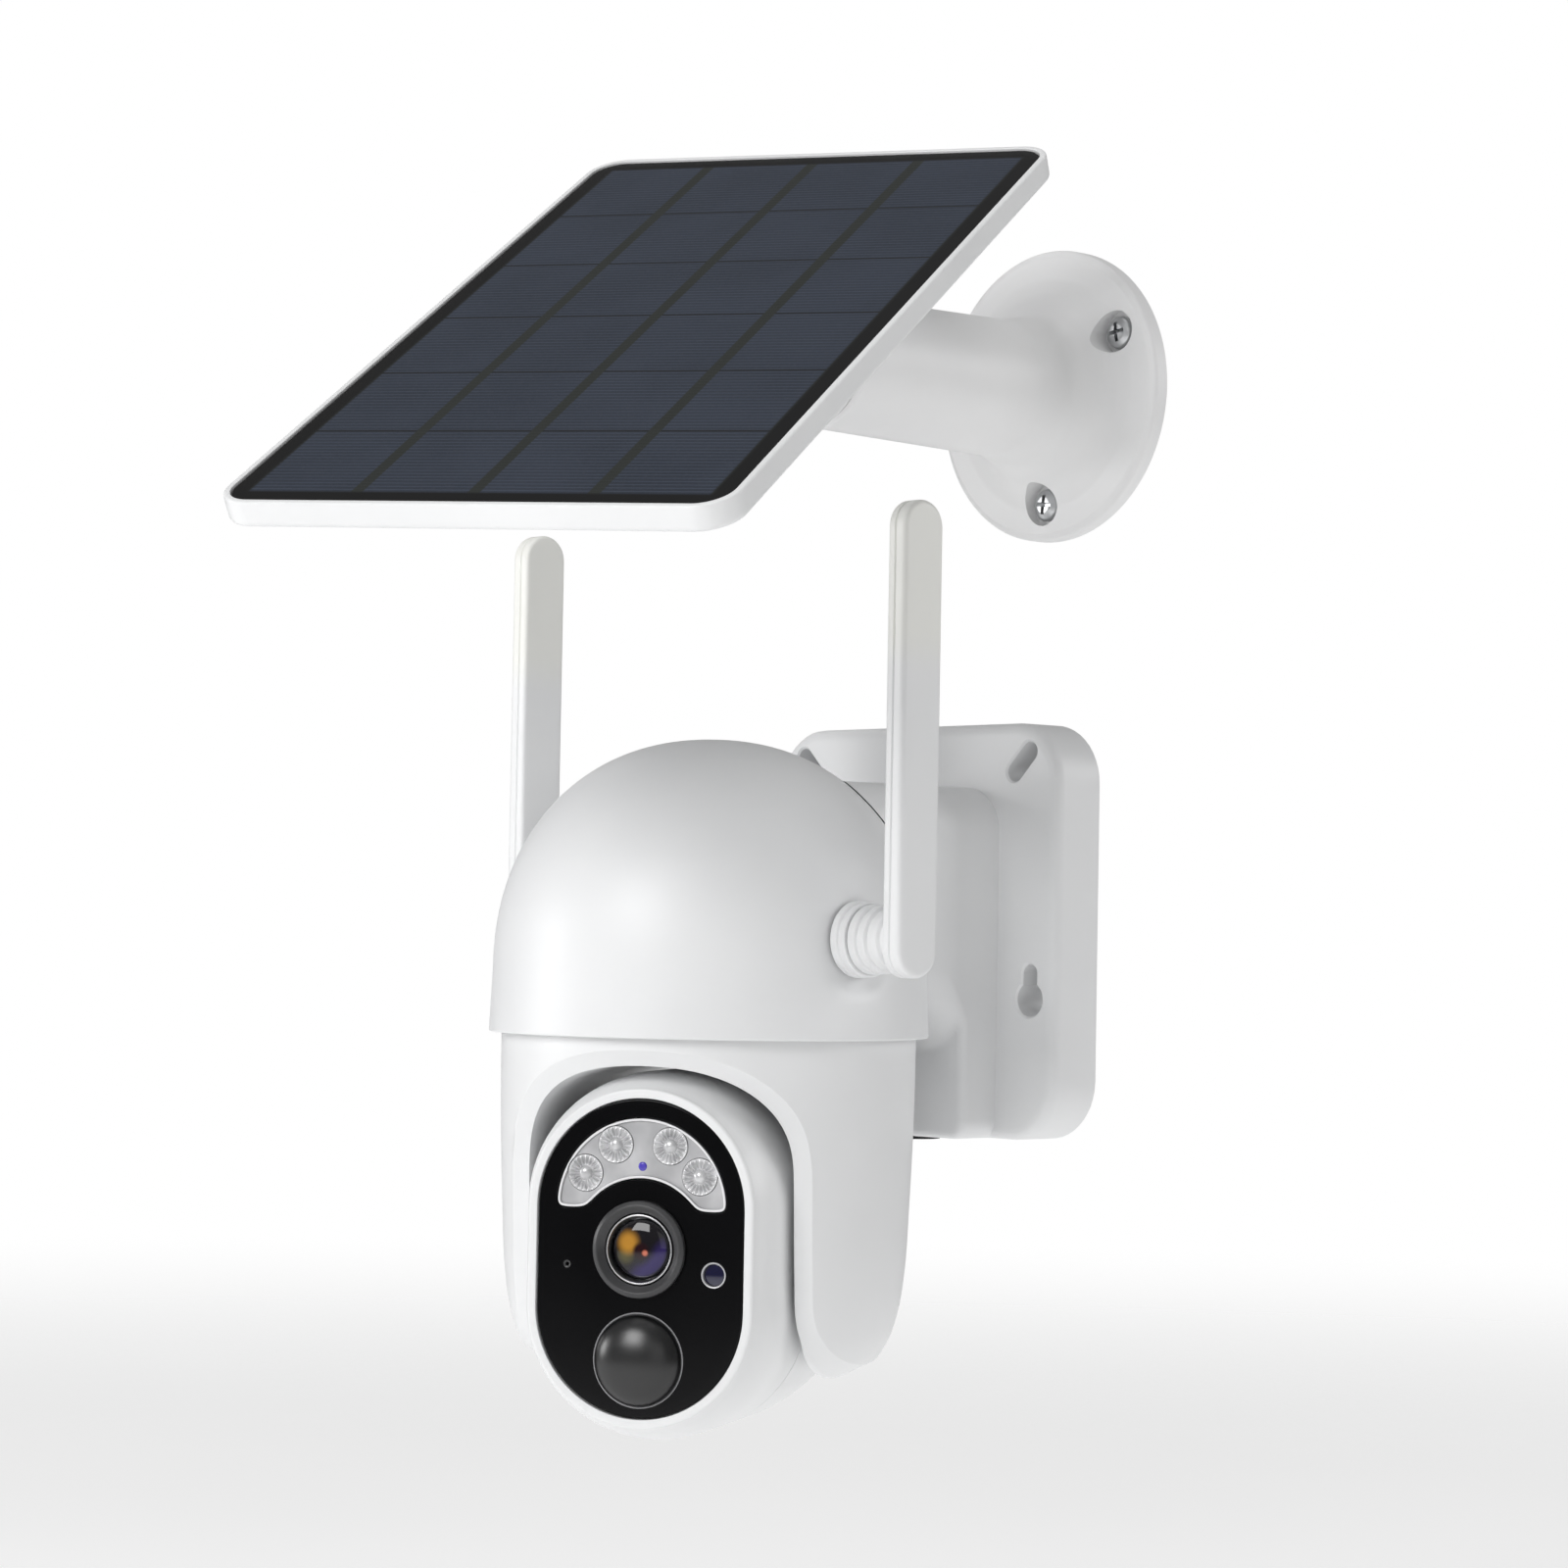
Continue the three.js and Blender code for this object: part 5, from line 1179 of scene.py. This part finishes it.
FOOT_RADIUS, FOOT_OFFSET, HINGE_RISE, FOOT_THICK = 23, 17, 19.6, 4
LUG_START, LUG_WIDTH = 6.8, 6
panel_axis = Vector(joints["panel_turn"]["axis"])
hinge_place = standing_at(swivel_point, hinge_axis, panel_axis)

foot_top = HINGE_RISE - 0.3
foot_profile = eased([(3, foot_top - FOOT_THICK), (0, foot_top - FOOT_THICK, 1), (0, foot_top, 0.4),
                      (3, foot_top)])
foot = loft(circle(FOOT_RADIUS, 128, (0, -FOOT_OFFSET)), foot_profile, "up")
bracket = make("panel_bracket_visual", [foot], arm_white, hinge_place)
bend = np.linspace(math.pi, 2 * math.pi, 40)
lug_line = np.concatenate([np.stack([KNUCKLE * np.cos(bend), KNUCKLE * np.sin(bend)], 1),
                           [(KNUCKLE, 2), (5, HINGE_RISE - 2), (-KNUCKLE - 8, HINGE_RISE - 2)]])
for start in (LUG_START, -LUG_START - LUG_WIDTH):
    lug_profile = eased([(1.2, start), (0, start, 0.5), (0, start + LUG_WIDTH, 0.5),
                         (1.2, start + LUG_WIDTH)], 4)
    machine(bracket, [loft(lug_line, lug_profile, "side")], "UNION")
machine(bracket, [turned([(3.3, -30), (3.3, 30)], "side", 48)])
machine(bracket, [turned([(2.8, 0), (2.8, 30)], "up", 40, middle=(0, -FOOT_OFFSET))])
fit(bracket, "bracket", "white_plastic", "panel_bracket")

BOLT_SIDE = LUG_START + LUG_WIDTH + 0.3
bolt_line = eased([
    (0, BOLT_SIDE + 3.2), (4.2, BOLT_SIDE + 3.1, 2), (5.6, BOLT_SIDE + 1.6, 0.8), (5.6, BOLT_SIDE),
    (3, BOLT_SIDE), (3, -BOLT_SIDE - 5, 0.5), (0, -BOLT_SIDE - 5),
], 6)
bolt = make("hinge_bolt_visual", [turned(bolt_line, "side", 64)], screw_steel, hinge_place)
sink = circle(2.6, 6)
machine(bolt, [skin([stood(sink, BOLT_SIDE + 1.2, "side"), stood(sink, BOLT_SIDE + 5, "side")])])
fit(bolt, "bracket", "steel", "hinge_bolt")

nut_line = eased([(1.0, -BOLT_SIDE - 4), (0, -BOLT_SIDE - 3.6), (0, -BOLT_SIDE - 0.3), (1.0, -BOLT_SIDE)])
nut = make("hinge_nut_visual", [loft(circle(5.6, 6), nut_line, "side")], screw_steel, hinge_place)
machine(nut, [turned([(3.3, -30), (3.3, 0)], "side", 48)])
fit(nut, "bracket", "steel", "hinge_nut", edge=0.25)

# ------------------------------------------------------------------------------------------------
# Solar panel: a white ABS tray with rounded corners round a dark laminate of 24 cells. A screw
# holds it on the bracket's foot, and its lead leaves through a rubber outlet under it.

PANEL_WIDTH, PANEL_LENGTH, PANEL_THICK, PANEL_CORNER = 127, 203, 6.4, 9
PANEL_SHIFT, PANEL_TURN = 20.5, 25
RIM, GLASS_SINK, GLASS_THICK = 1.6, 0.5, 2
OUTLET = -70

panel_place = (standing_at(joints["panel_turn"]["pos_m"], hinge_axis, panel_axis)
               @ Matrix.Rotation(math.radians(PANEL_TURN), 4, "Z"))
panel_white = moulded("panel frame ABS", (0.84, 0.845, 0.85), (0.81, 0.815, 0.82), 0.33)

panel_line = rounded(-PANEL_WIDTH / 2, PANEL_WIDTH / 2, -PANEL_LENGTH / 2 - PANEL_SHIFT,
                     PANEL_LENGTH / 2 - PANEL_SHIFT, PANEL_CORNER, 16)
seat = PANEL_THICK - GLASS_SINK - GLASS_THICK - 0.3
tray_line = eased([
    (9, 0.6), (7.4, 0.6, 0.3), (6.6, 0, 0.3), (0, 0, 1.6), (0, PANEL_THICK, 0.7), (RIM, PANEL_THICK, 0.3),
    (RIM, seat), (4, seat),
], 6)
tray = make("panel_frame_visual", [loft(panel_line, tray_line, "up")], panel_white, panel_place)
machine(tray, [turned([(9.5, 0.0), (9.5, 1.5)], "up", 64)], "UNION")
machine(tray, [turned([(2.3, -2), (2.3, 5)], "up", 40)])
machine(tray, [turned([(5.3, -2), (5.3, 4)], "up", 48, middle=(0, OUTLET))])
fit(tray, "panel", "white_plastic", "panel_frame")

CELL_COLUMNS, CELL_ROWS = 4, 6
COLUMN_PITCH, ROW_PITCH = 0.0292, 0.0318
COLUMN_GAP, ROW_GAP = 0.0030, 0.0007
FINGER_PITCH = 0.0016
PANEL_MIDDLE = -PANEL_SHIFT * MM

cells = Finish("solar laminate", Specular_IOR_Level=0.12)
across, along, _ = cells.axes()
along = along - PANEL_MIDDLE
half_across, half_along = CELL_COLUMNS / 2 * COLUMN_PITCH, CELL_ROWS / 2 * ROW_PITCH
edge_across = abs(across).ramp(half_across - 0.0006, half_across - 0.0022)
edge_along = abs(along).ramp(half_along + 0.0002, half_along - 0.0014)
inside = edge_across * edge_along
column_line = abs((across + COLUMN_PITCH / 2) % COLUMN_PITCH - COLUMN_PITCH / 2).ramp(
    COLUMN_GAP / 2 + 0.0002, COLUMN_GAP / 2 - 0.0002)
row_line = abs((along + ROW_PITCH / 2) % ROW_PITCH - ROW_PITCH / 2).ramp(
    ROW_GAP / 2 + 0.0002, ROW_GAP / 2 - 0.0001)
fingers = abs(along % FINGER_PITCH - FINGER_PITCH / 2).ramp(0.00022, 0.00008)
crystal = cells.noise(34, 3)
speckle = cells.noise(1600, 2)
cell_tone = cells.mix(crystal.ramp(0.3, 0.7), (0.020, 0.026, 0.040), (0.028, 0.035, 0.052))
cell_tone = cells.mix(fingers * 0.55, cell_tone, (0.070, 0.090, 0.13))
cell_tone = cells.mix(speckle.ramp(0.4, 0.8) * 0.3, cell_tone, (0.05, 0.055, 0.075))
cell_tone = cells.mix(row_line, cell_tone, (0.008, 0.009, 0.012))
cell_tone = cells.mix(column_line, cell_tone, (0.020, 0.023, 0.021))
cells.colour(inside, (0.0012, 0.0012, 0.0015), cell_tone)
cells.paint("Roughness", 0.34 + 0.14 * crystal)
cells.relief(fingers * inside, 0.000015)

glass_top = PANEL_THICK - GLASS_SINK
laminate_line = eased([(RIM + 0.3, glass_top - GLASS_THICK), (RIM + 0.3, glass_top, 0.3),
                       (RIM + 3, glass_top)], 4)
laminate = make("panel_laminate_visual", [loft(panel_line, laminate_line, "up")], cells, panel_place)
fit(laminate, "panel", "solar_cells", "panel_laminate")

screw_line = eased([(0, -6.7), (3.6, -6.6, 1.5), (4.8, -5.6, 0.6), (4.8, -4.6), (2, -4.6), (2, 3.3),
                    (0, 3.3)])
turn_screw = make("turn_screw_visual", [turned(screw_line, "up", 48)], screw_steel, panel_place)
fit(turn_screw, "panel", "steel", "turn_screw")

outlet_line = eased([
    (0, -4), (2.2, -4), (2.2, -8, 0.4), (4, -8, 0.6), (6.5, -4.5, 1), (6.5, -0.3, 0.4), (5, -0.3),
    (5, 3.3), (0, 3.3),
], 5)
outlet = make("panel_outlet_visual", [turned(outlet_line, "up", 48, middle=(0, OUTLET))], black_rubber,
              panel_place)
fit(outlet, "panel", "rubber", "panel_outlet")
